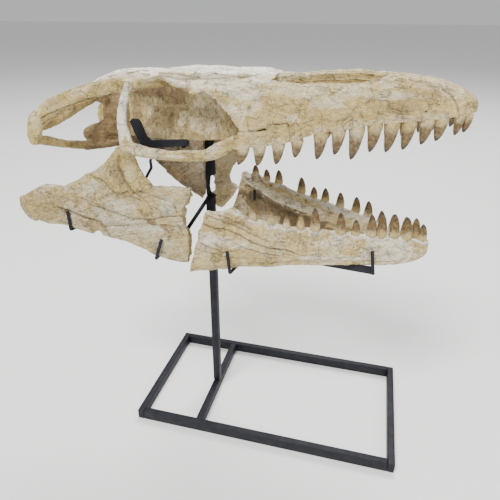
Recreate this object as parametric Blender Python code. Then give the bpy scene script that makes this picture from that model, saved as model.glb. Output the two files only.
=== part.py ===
"""Mosasaur skull fossil on a steel display stand.

Metres, +Z up, the snout towards +X and the skull's right side towards -Y. The
origin is on the floor under the post. Every bone is one closed solid, and
neighbours keep a gap of 0.3 mm. Right-hand pieces are modelled on -Y and the
left-hand ones are their mirror images.
"""

import math

import bmesh
import bpy
from mathutils import Matrix, Vector

GAP = 0.0003

# Skull: driving sizes
SNOUT_TIP = 0.584
PREMAXILLA_REAR = 0.455
NARIS_REAR = 0.172
NARIS_FRONT = 0.41
MAXILLA_REAR = 0.0975
BAR_HALF_WIDTH = 0.0142
BAR_DEPTH = 0.0215
BONE_WALL = 0.016
ALVEOLAR_WIDTH = 0.029
PALATE_RISE = 0.026
FRONTAL_THICKNESS = 0.018

# Teeth: (station along the jaw, crown length with its exposed base)
MAXILLARY_TEETH = (
    (0.1155, 0.034), (0.151, 0.038), (0.190, 0.041), (0.230, 0.034),
    (0.277, 0.052), (0.312, 0.047), (0.348, 0.061), (0.384, 0.053),
    (0.4165, 0.056), (0.450, 0.052), (0.484, 0.045), (0.512, 0.041),
)
PREMAXILLARY_TEETH = ((0.5465, 0.039), (0.5635, 0.037))
RIGHT_DENTARY_TEETH = (
    (0.137, 0.018), (0.178, 0.020), (0.213, 0.018), (0.246, 0.022), (0.279, 0.053),
    (0.338, 0.051), (0.373, 0.037), (0.409, 0.053), (0.433, 0.059), (0.461, 0.057),
    (0.489, 0.052), (0.525, 0.038),
)
LEFT_DENTARY_TEETH = (
    (0.089, 0.020), (0.121, 0.024), (0.156, 0.030), (0.221, 0.034), (0.254, 0.023),
    (0.286, 0.028), (0.325, 0.031), (0.366, 0.032), (0.396, 0.034), (0.430, 0.028),
    (0.460, 0.034), (0.487, 0.040), (0.512, 0.042),
)
TOOTH_SIDES = 6
TOOTH_ROOT = 0.009

# Mandible
DENTARY_FRONT = 0.541
DENTARY_THICKNESS = 0.029
LEFT_RAMUS_SPLAY = 0.012

# The left side of the skull's rear has settled forwards and down, by this share of its distance
SETTLING = Vector((0.10, 0.0, -0.10))

# Stand: rectangular tube frame, square post and round rods
FRAME_LEFT, FRAME_RIGHT = -0.185, 0.542
FRAME_FRONT, FRAME_BACK = -0.1875, 0.195
TUBE_WIDTH, TUBE_HEIGHT = 0.0185, 0.030
POST_WIDTH = 0.0207
POST_TOP = 0.646
PLATE_THICKNESS = 0.006
ROD_RADIUS = 0.0042
CLIP_RADIUS = 0.0032

BONE = (0.72, 0.64, 0.48)
PALE_BONE = (0.80, 0.76, 0.68)
BROWN_BONE = (0.50, 0.40, 0.27)
STEEL = (0.025, 0.028, 0.040)


# ---------------------------------------------------------------- scene and materials

def clear_scene():
    for item in list(bpy.data.objects):
        bpy.data.objects.remove(item, do_unlink=True)


def material(name, colour, roughness, metallic=0.0):
    made = bpy.data.materials.get(name) or bpy.data.materials.new(name)
    made.use_nodes = True
    shader = made.node_tree.nodes["Principled BSDF"]
    shader.inputs["Base Color"].default_value = (*colour, 1.0)
    shader.inputs["Roughness"].default_value = roughness
    shader.inputs["Metallic"].default_value = metallic
    return made


def bone_material(name, colour=BONE):
    return material(name, colour, 0.62)


def steel_material(name):
    return material(name, STEEL, 0.55, 0.6)


# ---------------------------------------------------------------- lines and rings

def line(*knots):
    """A smooth line through (station, value) knots that never overshoots a knot."""
    stations = [knot[0] for knot in knots]
    values = [knot[1] for knot in knots]
    last = len(knots) - 1
    steps = [(values[i + 1] - values[i]) / (stations[i + 1] - stations[i]) for i in range(last)]
    slopes = [steps[0]]
    for before, after in zip(steps, steps[1:]):
        slopes.append(2 * before * after / (before + after) if before * after > 0 else 0.0)
    slopes.append(steps[-1])

    def at(station):
        if station <= stations[0]:
            return values[0]
        if station >= stations[-1]:
            return values[-1]
        i = max(k for k in range(last) if stations[k] <= station)
        span = stations[i + 1] - stations[i]
        t = (station - stations[i]) / span
        rise = t * t * (3 - 2 * t)
        bend = span * (slopes[i] * t * (1 - t) ** 2 - slopes[i + 1] * t * t * (1 - t))
        return values[i] + (values[i + 1] - values[i]) * rise + bend

    return at


def spread(start, end, count):
    return [start + (end - start) * k / (count - 1) for k in range(count)]


def ease(value, low, high):
    """0 below low, 1 above high, with a smooth change between."""
    t = min(1.0, max(0.0, (value - low) / (high - low)))
    return t * t * (3 - 2 * t)


def mix(a, b, t):
    return a + (b - a) * t


def loft(rings, tip=None):
    """A closed skin made by extruding a first outline through the others, and on to a tip."""
    mesh = bmesh.new()
    cap = mesh.faces.new([mesh.verts.new(point) for point in rings[0]])
    first = cap
    for ring in rings[1:]:
        made = bmesh.ops.extrude_face_region(mesh, geom=[cap])["geom"]
        grown = next(item for item in made if isinstance(item, bmesh.types.BMFace))
        for vert, point in zip(grown.verts, ring):
            vert.co = point
        if cap is not first:
            bmesh.ops.delete(mesh, geom=[cap], context="FACES_ONLY")
        cap = grown
    if tip:
        bmesh.ops.poke(mesh, faces=[cap])["verts"][0].co = tip
    bmesh.ops.recalc_face_normals(mesh, faces=mesh.faces)
    bmesh.ops.triangulate(mesh, faces=mesh.faces, quad_method="FIXED")
    return mesh


def limb(path, heights, widths, lean=(0.0, 0.0, 1.0), sides=8, power=2.4):
    """A bent bar. Each section stands square to the path, with its height nearest `lean`."""
    points = [Vector(point) for point in path]
    rings = []
    for i, centre in enumerate(points):
        ahead = points[min(i + 1, len(points) - 1)] - points[max(i - 1, 0)]
        ahead.normalize()
        up = Vector(lean) - ahead * ahead.dot(Vector(lean))
        up.normalize()
        side = ahead.cross(up)
        ring = []
        for k in range(sides):
            angle = 2 * math.pi * (k + 0.5) / sides
            across = math.copysign(abs(math.cos(angle)) ** (2 / power), math.cos(angle))
            along = math.copysign(abs(math.sin(angle)) ** (2 / power), math.sin(angle))
            ring.append(centre + side * across * widths[i] / 2 + up * along * heights[i] / 2)
        rings.append(ring)
    return loft(rings)


def through(points, count):
    """Points spread along a smooth curve through a few guide points."""
    marks = range(len(points))
    axes = [line(*[(mark, points[mark][axis]) for mark in marks]) for axis in range(3)]
    return [tuple(axis(t) for axis in axes) for t in spread(0, len(points) - 1, count)]


def sized(values, count):
    """Sizes spread evenly through a few guide sizes."""
    size = line(*enumerate(values))
    return [size(t) for t in spread(0, len(values) - 1, count)]


def mirrored(mesh):
    bmesh.ops.scale(mesh, vec=(1, -1, 1), verts=mesh.verts)
    bmesh.ops.reverse_faces(mesh, faces=mesh.faces)
    return mesh


def settled(mesh):
    """Let the left side of the skull's rear sink a little, as it has in the fossil."""
    for vert in mesh.verts:
        fade = 1 - ease(vert.co.x, -0.14, -0.03)
        vert.co += SETTLING * fade * max(0.0, vert.co.y - 0.03)
    return mesh


def plate(outline, low_side, high_side, inset=0.93, lean=0.0):
    """A flat piece with an (x, z) outline, between two y values, with its rim eased at both faces."""
    middle_x = sum(x for x, z in outline) / len(outline)
    middle_z = sum(z for x, z in outline) / len(outline)
    ease_in = 0.3 * (high_side - low_side)
    sides = (
        (low_side, inset), (low_side + ease_in, 1.0),
        (high_side - ease_in, 1.0), (high_side, inset),
    )
    rings = []
    for y, size in sides:
        ring = []
        for x, z in outline:
            new_x, new_z = mix(middle_x, x, size), mix(middle_z, z, size)
            ring.append(Vector((new_x, y + lean * (new_z - middle_z), new_z)))
        rings.append(ring)
    return loft(rings)


def keep_side(mesh, point, normal):
    """Cut the mesh flat and keep what lies behind the plane."""
    geometry = mesh.verts[:] + mesh.edges[:] + mesh.faces[:]
    bmesh.ops.bisect_plane(
        mesh, geom=geometry, dist=1e-6, plane_co=point, plane_no=normal, clear_outer=True
    )
    rim = [edge for edge in mesh.edges if edge.is_boundary]
    bmesh.ops.holes_fill(mesh, edges=rim, sides=0)
    bmesh.ops.recalc_face_normals(mesh, faces=mesh.faces)
    return mesh


def add(name, mesh, finish, smooth_angle=50):
    data = bpy.data.meshes.new(name)
    mesh.to_mesh(data)
    mesh.free()
    data.shade_smooth()
    data.set_sharp_from_angle(angle=math.radians(smooth_angle))
    data.materials.append(finish)
    made = bpy.data.objects.new(name, data)
    bpy.context.scene.collection.objects.link(made)
    return made


def join(body, other_name, mesh):
    """Unite another closed mesh with the body, so that both are one solid."""
    other = add(other_name, mesh, body.data.materials[0])
    other.hide_render = True
    other.display_type = "WIRE"
    union = body.modifiers.new(other_name, "BOOLEAN")
    union.operation = "UNION"
    union.solver = "EXACT"
    union.object = other
    return body


def cut(body, other_name, mesh):
    other = add(other_name, mesh, body.data.materials[0])
    other.hide_render = True
    other.display_type = "WIRE"
    trim = body.modifiers.new(other_name, "BOOLEAN")
    trim.operation = "DIFFERENCE"
    trim.solver = "EXACT"
    trim.object = other
    return body


def swollen(mesh, amount=GAP):
    """The same form grown by a small amount all round, which cuts a neighbour to fit it."""
    mesh.normal_update()
    moves = [vert.normal * vert.calc_shell_factor() * amount for vert in mesh.verts]
    for vert, move in zip(mesh.verts, moves):
        vert.co += move
    return mesh


def both_sides(stem, make, finish, beside=(), central=()):
    """The right piece as modelled and the left one as its mirror image.

    Each is fitted to its neighbours: those beside it come in pairs, the central ones don't.
    """
    pieces = []
    for side in ("right", "left"):
        mesh = make()
        if side == "left":
            mesh = settled(mirrored(mesh))
        piece = add(stem + "_" + side, mesh, finish)
        for neighbour in beside + central:
            seat = swollen(neighbour())
            if side == "left" and neighbour in beside:
                seat = settled(mirrored(seat))
            cut(piece, piece.name + "_seat_of_" + neighbour.__name__, seat)
        pieces.append(piece)
    return pieces


def block(low, high, bevel=0.0015):
    mesh = bmesh.new()
    bmesh.ops.create_cube(mesh, size=1.0)
    size = Vector(high) - Vector(low)
    bmesh.ops.scale(mesh, vec=size, verts=mesh.verts)
    bmesh.ops.translate(mesh, vec=(Vector(low) + Vector(high)) / 2, verts=mesh.verts)
    if bevel:
        bmesh.ops.bevel(
            mesh, geom=mesh.edges[:], offset=bevel, segments=1, profile=0.5,
            affect="EDGES", material=-1,
        )
    return mesh


# ---------------------------------------------------------------- outer form of the cranium

half_width = line(
    (-0.17, 0.146), (-0.05, 0.128), (0.05, 0.124), (0.13, 0.117), (0.27, 0.100), (0.40, 0.079),
    (0.49, 0.064), (0.54, 0.053), (0.562, 0.042), (0.576, 0.027), (SNOUT_TIP, 0.012),
)
margin = line(
    (0.09, 0.800), (0.134, 0.808), (0.218, 0.823), (0.264, 0.842), (0.328, 0.853),
    (0.40, 0.866), (0.468, 0.873), (0.528, 0.880), (0.562, 0.885), (SNOUT_TIP, 0.889),
)
crown = line(
    (-0.20, 0.947), (-0.11, 0.949), (-0.03, 0.957), (0.12, 0.957), (0.20, 0.950), (0.311, 0.960),
    (0.413, 0.957), (0.472, 0.953), (0.522, 0.941), (0.555, 0.929), (0.572, 0.918),
    (SNOUT_TIP, 0.905),
)
squareness = line((0.08, 3.4), (0.17, 4.4), (0.22, 3.8), (0.30, 2.9), (0.38, 2.35), (SNOUT_TIP, 2.2))


def skin_point(x, angle):
    """Right-side point on the cranium's outer form, from the tooth margin (0) to the crown (90)."""
    power = 2 / squareness(x)
    turn = math.radians(angle)
    y = half_width(x) * math.cos(turn) ** power
    z = margin(x) + (crown(x) - margin(x)) * math.sin(turn) ** power
    return y, z


def skin_angle_at_y(x, y):
    """Angle at which the outer form is y wide."""
    share = min(1.0, max(0.0, y / half_width(x)))
    return math.degrees(math.acos(share ** (squareness(x) / 2)))


def skin_angle_at_z(x, z):
    share = min(1.0, max(0.0, (z - margin(x)) / (crown(x) - margin(x))))
    return math.degrees(math.asin(share ** (squareness(x) / 2)))


# ---------------------------------------------------------------- teeth

def tooth(base, length, width, down=-1, lean=-0.06):
    """A recurved conical tooth whose root reaches TOOTH_ROOT into the jaw."""
    def axis(reach):
        """Point on the tooth's curved axis, at a share of its length."""
        return Vector(base) + Vector((lean * length * reach * reach, 0.0, down * reach * length))

    rings = []
    for reach, size in ((-TOOTH_ROOT / length, 1.0), (0.36, 0.86), (0.76, 0.47)):
        centre = axis(reach)
        ring = []
        for k in range(TOOTH_SIDES):
            angle = 2 * math.pi * k / TOOTH_SIDES
            fore_aft = math.cos(angle) * width / 2 * size
            across = math.sin(angle) * width / 2 * size * 0.78
            ring.append(centre + Vector((fore_aft, across, 0.0)))
        rings.append(ring)
    return loft(rings, axis(1.0))


def gathered(meshes):
    """One bmesh that holds several separate closed bodies."""
    data = bpy.data.meshes.new("gathered")
    total = bmesh.new()
    for mesh in meshes:
        mesh.to_mesh(data)
        mesh.free()
        total.from_mesh(data)
    bpy.data.meshes.remove(data)
    return total


def upper_tooth(x, length, side):
    width = (0.0175 + 0.18 * length) * mix(1.0, 0.80, ease(x, 0.51, 0.55))
    y = side * (half_width(x) - 0.42 * width)
    return tooth((x + 0.05 * length, y, margin(x)), length, width, down=-1, lean=-0.10)


def maxillary_teeth(side):
    return gathered([upper_tooth(x, length, side) for x, length in MAXILLARY_TEETH])


def premaxillary_teeth():
    made = []
    for side in (-1, 1):
        made += [upper_tooth(x, length, side) for x, length in PREMAXILLARY_TEETH]
    return gathered(made)


# ---------------------------------------------------------------- snout

SUTURE_NORMAL = Vector((0.663, 0.661, 0.351)).normalized()
SUTURE_POINT = Vector((0.5375, -0.053, 0.884))
BROW_SUTURE_NORMAL = Vector((0.842, 0.0, -0.539)).normalized()
BROW_SUTURE_POINT = Vector((0.1100, -0.110, 0.8455))


def naris_rim(x):
    """Half width of the nostril opening's outer rim at x."""
    open_rim = line(
        (MAXILLA_REAR, 0.116), (0.13, 0.108), (0.172, 0.084), (0.23, 0.079), (0.306, 0.070),
        (0.372, 0.050), (0.405, 0.030),
    )(x)
    return mix(open_rim, BAR_HALF_WIDTH + GAP, ease(x, 0.385, 0.425))


def maxilla_top_angle(x):
    rear_edge = line((MAXILLA_REAR, 0.834), (0.112, 0.854), (0.142, 0.899), (0.168, 0.9405))
    if x < NARIS_REAR:
        return skin_angle_at_z(x, rear_edge(x))
    return skin_angle_at_y(x, naris_rim(x))


def maxilla():
    rings = []
    for x in [MAXILLA_REAR, 0.109, 0.131, 0.152, 0.172] + spread(0.196, 0.56, 12):
        solid = ease(x, 0.385, 0.425)
        top = maxilla_top_angle(x)
        outer = [skin_point(x, top * share) for share in (0.0, 0.10, 0.35, 0.6, 0.82, 1.0)]
        rim_y, rim_z = outer[-1]
        low, high = margin(x), crown(x)
        low_inner = half_width(x) - ALVEOLAR_WIDTH
        hollow_top = min(high - 0.022, rim_z - 0.004)
        middle_z = mix(mix(low, rim_z, 0.55), high - BAR_DEPTH - 0.002, solid)
        inner = [
            (
                max(mix(rim_y - 0.008, 0.0, solid), BAR_HALF_WIDTH + GAP),
                mix(hollow_top, high - BAR_DEPTH - 0.001, solid),
            ),
            (mix(max(rim_y - 0.012, 0.012), 0.0015, solid), middle_z),
            (mix(low_inner - 0.012, 0.0015, solid), low + PALATE_RISE),
            (max(low_inner, 0.004), low + 0.002),
        ]
        rings.append([Vector((x, -y, z)) for y, z in outer + inner])
    mesh = keep_side(loft(rings), SUTURE_POINT - SUTURE_NORMAL * GAP / 2, SUTURE_NORMAL)
    return keep_side(mesh, BROW_SUTURE_POINT + BROW_SUTURE_NORMAL * GAP / 2, -BROW_SUTURE_NORMAL)


def make_maxillae():
    finish = bone_material("maxilla_bone")
    for side, piece in zip((-1, 1), both_sides("maxilla", maxilla, finish)):
        join(piece, piece.name + "_teeth", maxillary_teeth(side))


def snout_block():
    rings = []
    for x in spread(PREMAXILLA_REAR, 0.535, 5) + [0.552, 0.567, 0.578, SNOUT_TIP]:
        arc = [skin_point(x, 90 * share) for share in (0.0, 0.14, 0.38, 0.62, 0.82)]
        right = [Vector((x, -y, z)) for y, z in arc]
        left = [Vector((x, y, z)) for y, z in reversed(arc)]
        inset = max(0.3 * half_width(x), half_width(x) - ALVEOLAR_WIDTH)
        low = margin(x)
        palate = [
            Vector((x, inset, low + 0.002)),
            Vector((x, 0.0, low + min(PALATE_RISE, half_width(x) * 0.5))),
            Vector((x, -inset, low + 0.002)),
        ]
        rings.append(right + [Vector((x, 0.0, crown(x)))] + left + palate)
    mesh = loft(rings)
    for side in (1, -1):
        point = Vector((SUTURE_POINT.x, SUTURE_POINT.y * side, SUTURE_POINT.z))
        normal = Vector((SUTURE_NORMAL.x, SUTURE_NORMAL.y * side, SUTURE_NORMAL.z))
        keep_side(mesh, point + normal * GAP / 2, -normal)
    return mesh


def internarial_bar():
    rings = []
    for x in spread(0.176, 0.515, 9):
        top = crown(x) - 0.0005
        half = BAR_HALF_WIDTH * mix(0.8, 1.0, ease(x, 0.18, 0.25)) - GAP
        depth = BAR_DEPTH - 0.002
        rings.append([
            Vector((x, -half, top - depth)),
            Vector((x, -half, top - 0.006)),
            Vector((x, -half * 0.55, top)),
            Vector((x, half * 0.55, top)),
            Vector((x, half, top - 0.006)),
            Vector((x, half, top - depth)),
        ])
    return loft(rings)


def make_premaxilla():
    piece = add("premaxilla", snout_block(), bone_material("premaxilla_bone"))
    join(piece, "premaxilla_bar", internarial_bar())
    join(piece, "premaxilla_teeth", premaxillary_teeth())


def make_vomer():
    """The roof of the mouth, which is also the floor of the nostrils."""
    rings = []
    for x in spread(0.12, 0.40, 6):
        half = (half_width(x) - 0.044) * mix(1.0, 0.6, ease(x, 0.34, 0.40))
        low = margin(x) + PALATE_RISE - 0.004
        rings.append([
            Vector((x, -half, low)), Vector((x, -half, low + 0.010)),
            Vector((x, -0.3 * half, low + 0.020)), Vector((x, 0.3 * half, low + 0.020)),
            Vector((x, half, low + 0.010)), Vector((x, half, low)),
            Vector((x, 0.0, low + 0.004)),
        ])
    add("vomer", loft(rings), bone_material("palate_bone", BROWN_BONE))


# ---------------------------------------------------------------- skull roof

frontal_half_width = line(
    (-0.105, 0.080), (-0.06, 0.068), (0.03, 0.066), (0.11, 0.064), (0.15, 0.048), (0.1745, 0.014),
)


def roof_height(x, y):
    """The roof is highest along the midline and falls gently to its edges."""
    return crown(x) - 0.9 * y * y - 0.030 * abs(y) ** 1.0


PREFRONTAL_STATIONS = (-0.012, 0.008, 0.031, 0.058, 0.084, 0.109, 0.128, 0.149, 0.1715)


def frontal():
    rings = []
    for x in [-0.105, -0.075, -0.042, *PREFRONTAL_STATIONS, 0.1745]:
        half = frontal_half_width(x)
        across = [half * share for share in (-1.0, -0.72, -0.3, 0.0, 0.3, 0.72, 1.0)]
        top = [Vector((x, y, roof_height(x, y))) for y in across]
        low = roof_height(x, half)
        under = [
            Vector((x, half * 0.97, low - 0.010)),
            Vector((x, half * 0.5, crown(x) - FRONTAL_THICKNESS - 0.004)),
            Vector((x, -half * 0.5, crown(x) - FRONTAL_THICKNESS - 0.004)),
            Vector((x, -half * 0.97, low - 0.010)),
        ]
        rings.append(top + under)
    return loft(rings)


def prefrontal():
    """Brow, side wall ahead of the orbit, and the rear corner of the nostril."""
    low_edge = line(
        (-0.012, 0.914), (0.000, 0.909), (0.031, 0.917), (0.058, 0.903), (0.080, 0.882),
        (0.095, 0.868), (0.109, 0.8465), (0.125, 0.8600), (0.142, 0.8860), (0.1715, 0.9320),
    )
    ridge = line((-0.012, 0.100), (0.03, 0.103), (0.085, 0.105), (0.13, 0.100), (0.1715, 0.085))
    ridge_z = line((-0.012, 0.920), (0.03, 0.922), (0.085, 0.921), (0.13, 0.932), (0.1715, 0.944))
    rings = []
    for x in PREFRONTAL_STATIONS:
        inner_y = frontal_half_width(x) + 0.0007
        inner_z = roof_height(x, inner_y) - 0.003
        low = low_edge(x)
        drop = max(0.0, ridge_z(x) - low)
        wall = mix(ridge(x), half_width(x) - 0.002, min(1.0, drop / 0.07))
        depth = max(0.010, min(BONE_WALL, 0.3 * drop))
        rings.append([
            Vector((x, -inner_y, inner_z)),
            Vector((x, -mix(inner_y, ridge(x), 0.55), mix(inner_z, ridge_z(x), 0.5) - 0.002)),
            Vector((x, -ridge(x), ridge_z(x))),
            Vector((x, -mix(ridge(x), wall, 0.55), mix(ridge_z(x), low, 0.5))),
            Vector((x, -wall, low)),
            Vector((x, -(wall - depth), low + 0.001)),
            Vector((x, -(mix(ridge(x), wall, 0.5) - depth - 0.004), mix(ridge_z(x), low, 0.5))),
            Vector((x, -inner_y, inner_z - 0.018)),
        ])
    return keep_side(loft(rings), BROW_SUTURE_POINT - BROW_SUTURE_NORMAL * GAP / 2, BROW_SUTURE_NORMAL)


ARCH_JOINT = Vector((-0.263, -0.1495, 0.8995))
ARCH_JOINT_NORMAL = Vector((0.925, 0.0, 0.380)).normalized()


def cheek_arch():
    """The whole upper cheek arch, from the roof behind the orbit to the rear of the skull."""
    path = through([
        (-0.088, -0.054, 0.9330), (-0.100, -0.095, 0.9300), (-0.125, -0.126, 0.9310),
        (-0.160, -0.1435, 0.9285),
        (-0.205, -0.1480, 0.9155), (-0.263, -0.1495, 0.8995), (-0.302, -0.1490, 0.8840),
        (-0.336, -0.1475, 0.8630), (-0.362, -0.1455, 0.8410), (-0.376, -0.1440, 0.8160),
        (-0.3785, -0.1430, 0.7900),
    ], 15)
    heights = (0.026, 0.022, 0.030, 0.034, 0.033, 0.036, 0.036, 0.041, 0.043, 0.041, 0.028)
    widths = (0.052, 0.040, 0.030, 0.024, 0.019, 0.019, 0.020, 0.022, 0.024, 0.024, 0.018)
    return limb(path, sized(heights, 15), sized(widths, 15))


def postorbitofrontal():
    return keep_side(cheek_arch(), ARCH_JOINT + ARCH_JOINT_NORMAL * GAP / 2, -ARCH_JOINT_NORMAL)


def squamosal():
    return keep_side(cheek_arch(), ARCH_JOINT - ARCH_JOINT_NORMAL * GAP / 2, ARCH_JOINT_NORMAL)


def postorbital_bar():
    path = through([
        (-0.1270, -0.1420, 0.9200), (-0.1370, -0.1470, 0.893), (-0.1440, -0.1490, 0.858),
        (-0.1400, -0.1480, 0.8080),
    ], 5)
    return limb(path, sized((0.015, 0.018, 0.021, 0.036), 5), [0.014] * 5, lean=(1, 0, 0))


def supratemporal():
    """Rear branch of the roof, which runs out to the back of the cheek arch."""
    path = through([
        (-0.266, -0.024, 0.896), (-0.288, -0.068, 0.880), (-0.320, -0.101, 0.858),
        (-0.362, -0.1340, 0.831),
    ], 6)
    return limb(path, sized((0.032, 0.038, 0.038, 0.030), 6), sized((0.016, 0.014, 0.012), 6))


def opisthotic():
    """Paroccipital process, a slim bar from the braincase to the cheek arch."""
    path = through([
        (-0.3700, -0.1430, 0.7995), (-0.354, -0.112, 0.7890), (-0.331, -0.076, 0.7750),
        (-0.3040, -0.0320, 0.7655),
    ], 6)
    return limb(path, sized((0.024, 0.023, 0.020, 0.024), 6), sized((0.016, 0.018, 0.020), 6))


def parietal():
    half_width_at = line((-0.285, 0.036), (-0.25, 0.022), (-0.18, 0.021), (-0.1056, 0.050))
    top_at = line(
        (-0.290, 0.912), (-0.276, 0.923), (-0.246, 0.934), (-0.19, 0.948), (-0.1056, 0.949)
    )
    rings = []
    for x in spread(-0.290, -0.1056, 8):
        half, top, low = half_width_at(x), top_at(x), 0.905
        rings.append([
            Vector((x, -half, top - 0.006)), Vector((x, -half * 0.5, top)),
            Vector((x, half * 0.5, top)), Vector((x, half, top - 0.006)),
            Vector((x, half * 0.9, low)), Vector((x, -half * 0.9, low)),
        ])
    return loft(rings)


def braincase():
    """Braincase with the condyle at its rear."""
    width = line((-0.336, 0.012), (-0.325, 0.026), (-0.300, 0.034), (-0.26, 0.039), (-0.185, 0.038))
    top = line(
        (-0.336, 0.796), (-0.325, 0.807), (-0.300, 0.816), (-0.276, 0.828), (-0.266, 0.846),
        (-0.256, 0.887), (-0.185, 0.9035),
    )
    low = line((-0.336, 0.776), (-0.325, 0.765), (-0.300, 0.756), (-0.185, 0.762))
    rings = []
    for x in [-0.336, -0.329, -0.316, -0.300, -0.276, -0.265, -0.256, -0.225, -0.185]:
        middle, half_height = (top(x) + low(x)) / 2, (top(x) - low(x)) / 2
        ring = []
        for k in range(10):
            angle = 2 * math.pi * (k + 0.5) / 10
            y = math.copysign(abs(math.cos(angle)) ** 0.8, math.cos(angle)) * width(x)
            z = math.copysign(abs(math.sin(angle)) ** 0.8, math.sin(angle)) * half_height
            ring.append(Vector((x, y, middle + z)))
        rings.append(ring)
    return loft(rings)


def make_orbit_wall():
    """Solid wall between the orbits, waisted in the middle and flared above the palate."""
    rings = []
    for x in [-0.184, -0.145, -0.1050, -0.1040] + spread(-0.070, 0.106, 6):
        fore = ease(x, 0.02, 0.106)
        top = 0.9040 if x < -0.1045 else crown(x) - FRONTAL_THICKNESS - 0.005
        flare = mix(0.046, 0.056, ease(x, -0.16, -0.10)) + 0.020 * fore
        waist = mix(0.034, 0.030, ease(x, -0.16, -0.05)) + 0.045 * fore
        brow = mix(0.040, 0.050, ease(x, -0.184, -0.06)) + 0.006 * fore
        low = mix(0.800, 0.812, ease(x, -0.02, 0.10))
        side = [
            (brow, top), (brow * 0.94, min(top - 0.004, 0.912)), (waist, mix(0.930, low, 0.45)),
            (flare * 0.9, low + 0.020), (flare, low),
        ]
        right = [Vector((x, -y, z)) for y, z in side]
        left = [Vector((x, y, z)) for y, z in reversed(side)]
        rings.append(right + left)
    add("orbit_wall", loft(rings), bone_material("orbit_wall_matrix", BROWN_BONE))


def jugal():
    """Lower rim of the orbit, with its corner under the postorbital bar."""
    path = through([
        (0.1040, -0.1110, 0.8235), (0.066, -0.1180, 0.799), (0.020, -0.1250, 0.7850),
        (-0.050, -0.1340, 0.7835), (-0.105, -0.1405, 0.7900), (-0.132, -0.1440, 0.7950),
        (-0.152, -0.1460, 0.8030),
    ], 11)
    heights = sized((0.026, 0.035, 0.027, 0.024, 0.027, 0.034, 0.030), 11)
    mesh = limb(path, heights, sized((0.012, 0.015, 0.015, 0.014, 0.013), 11))
    return keep_side(mesh, Vector((MAXILLA_REAR - GAP, 0.0, 0.0)), Vector((1.0, 0.0, 0.0)))


def make_roof_and_cheeks():
    add("frontal", frontal(), bone_material("frontal_bone", PALE_BONE))
    add("parietal", parietal(), bone_material("parietal_bone", PALE_BONE))
    add("braincase", braincase(), bone_material("braincase_bone", BROWN_BONE))
    make_orbit_wall()
    both_sides("prefrontal", prefrontal, bone_material("prefrontal_bone"))
    cheek_finish = bone_material("cheek_bone")
    both_sides("postorbitofrontal", postorbitofrontal, cheek_finish, (), (frontal, parietal))
    both_sides("squamosal", squamosal, cheek_finish)
    both_sides("jugal", jugal, bone_material("jugal_bone"))
    bar_finish = bone_material("postorbital_plaster", PALE_BONE)
    both_sides("postorbital_bar", postorbital_bar, bar_finish, (cheek_arch, jugal))
    ramus_finish = bone_material("supratemporal_bone")
    both_sides("supratemporal", supratemporal, ramus_finish, (cheek_arch,), (parietal, braincase))
    rear_finish = bone_material("opisthotic_bone", BROWN_BONE)
    both_sides("opisthotic", opisthotic, rear_finish, (cheek_arch,), (braincase,))


# ---------------------------------------------------------------- palate

RIGHT_PTERYGOID = (
    (-0.152, 0.7990), (-0.152, 0.762), (-0.120, 0.745), (-0.090, 0.722), (-0.055, 0.700),
    (-0.005, 0.663), (0.0085, 0.670), (0.010, 0.730), (0.010, 0.7990), (-0.0280, 0.7990),
    (-0.0290, 0.7730), (-0.0570, 0.7730), (-0.0580, 0.7990),
)
LEFT_PTERYGOID = (
    (-0.152, 0.7990), (-0.152, 0.760), (-0.100, 0.728), (-0.050, 0.690), (-0.010, 0.620),
    (0.000, 0.596), (0.019, 0.598), (0.043, 0.629), (0.060, 0.656), (0.041, 0.668),
    (0.035, 0.687), (0.048, 0.715), (0.073, 0.741), (0.066, 0.7990),
)


def make_palate():
    """The two pterygoids hang under the orbits, with a gap between them for the post."""
    finish = bone_material("pterygoid_bone", BROWN_BONE)
    add("pterygoid_right", plate(RIGHT_PTERYGOID, -0.0585, -0.0445), finish)
    add("pterygoid_left", plate(LEFT_PTERYGOID, 0.0430, 0.0590), finish)


# ---------------------------------------------------------------- mandible

dentary_bottom = line(
    (-0.02, 0.486), (0.091, 0.505), (0.187, 0.519), (0.273, 0.524), (0.417, 0.529),
    (0.480, 0.529), (0.515, 0.536), (0.533, 0.547), (DENTARY_FRONT, 0.562),
)
dentary_top = line(
    (-0.02, 0.656), (0.030, 0.660), (0.070, 0.667), (0.111, 0.648), (0.155, 0.634), (0.214, 0.619),
    (0.280, 0.615), (0.310, 0.611), (0.345, 0.605), (0.380, 0.602), (0.46, 0.598), (0.515, 0.594),
    (0.533, 0.596), (DENTARY_FRONT, 0.590),
)
ramus_half_width = line(
    (-0.02, 0.141), (0.04, 0.130), (0.28, 0.078), (0.46, 0.037), (0.52, 0.026), (DENTARY_FRONT, 0.020),
)


left_dentary_top = line(
    (-0.02, 0.665), (0.045, 0.673), (0.072, 0.678), (0.105, 0.670), (0.131, 0.660), (0.168, 0.657),
    (0.200, 0.648), (0.240, 0.639), (0.290, 0.632), (0.345, 0.621), (0.384, 0.615),
    (0.430, 0.599), (0.480, 0.586), (DENTARY_FRONT, 0.577),
)


def left_dentary_bottom(x):
    return dentary_bottom(x) - 0.012 * ease(x, 0.25, 0.45)


def dentary_thickness(x):
    return DENTARY_THICKNESS * mix(0.9, 1.0, ease(x, 0.0, 0.2)) * mix(1.0, 0.6, ease(x, 0.46, 0.54))


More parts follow.
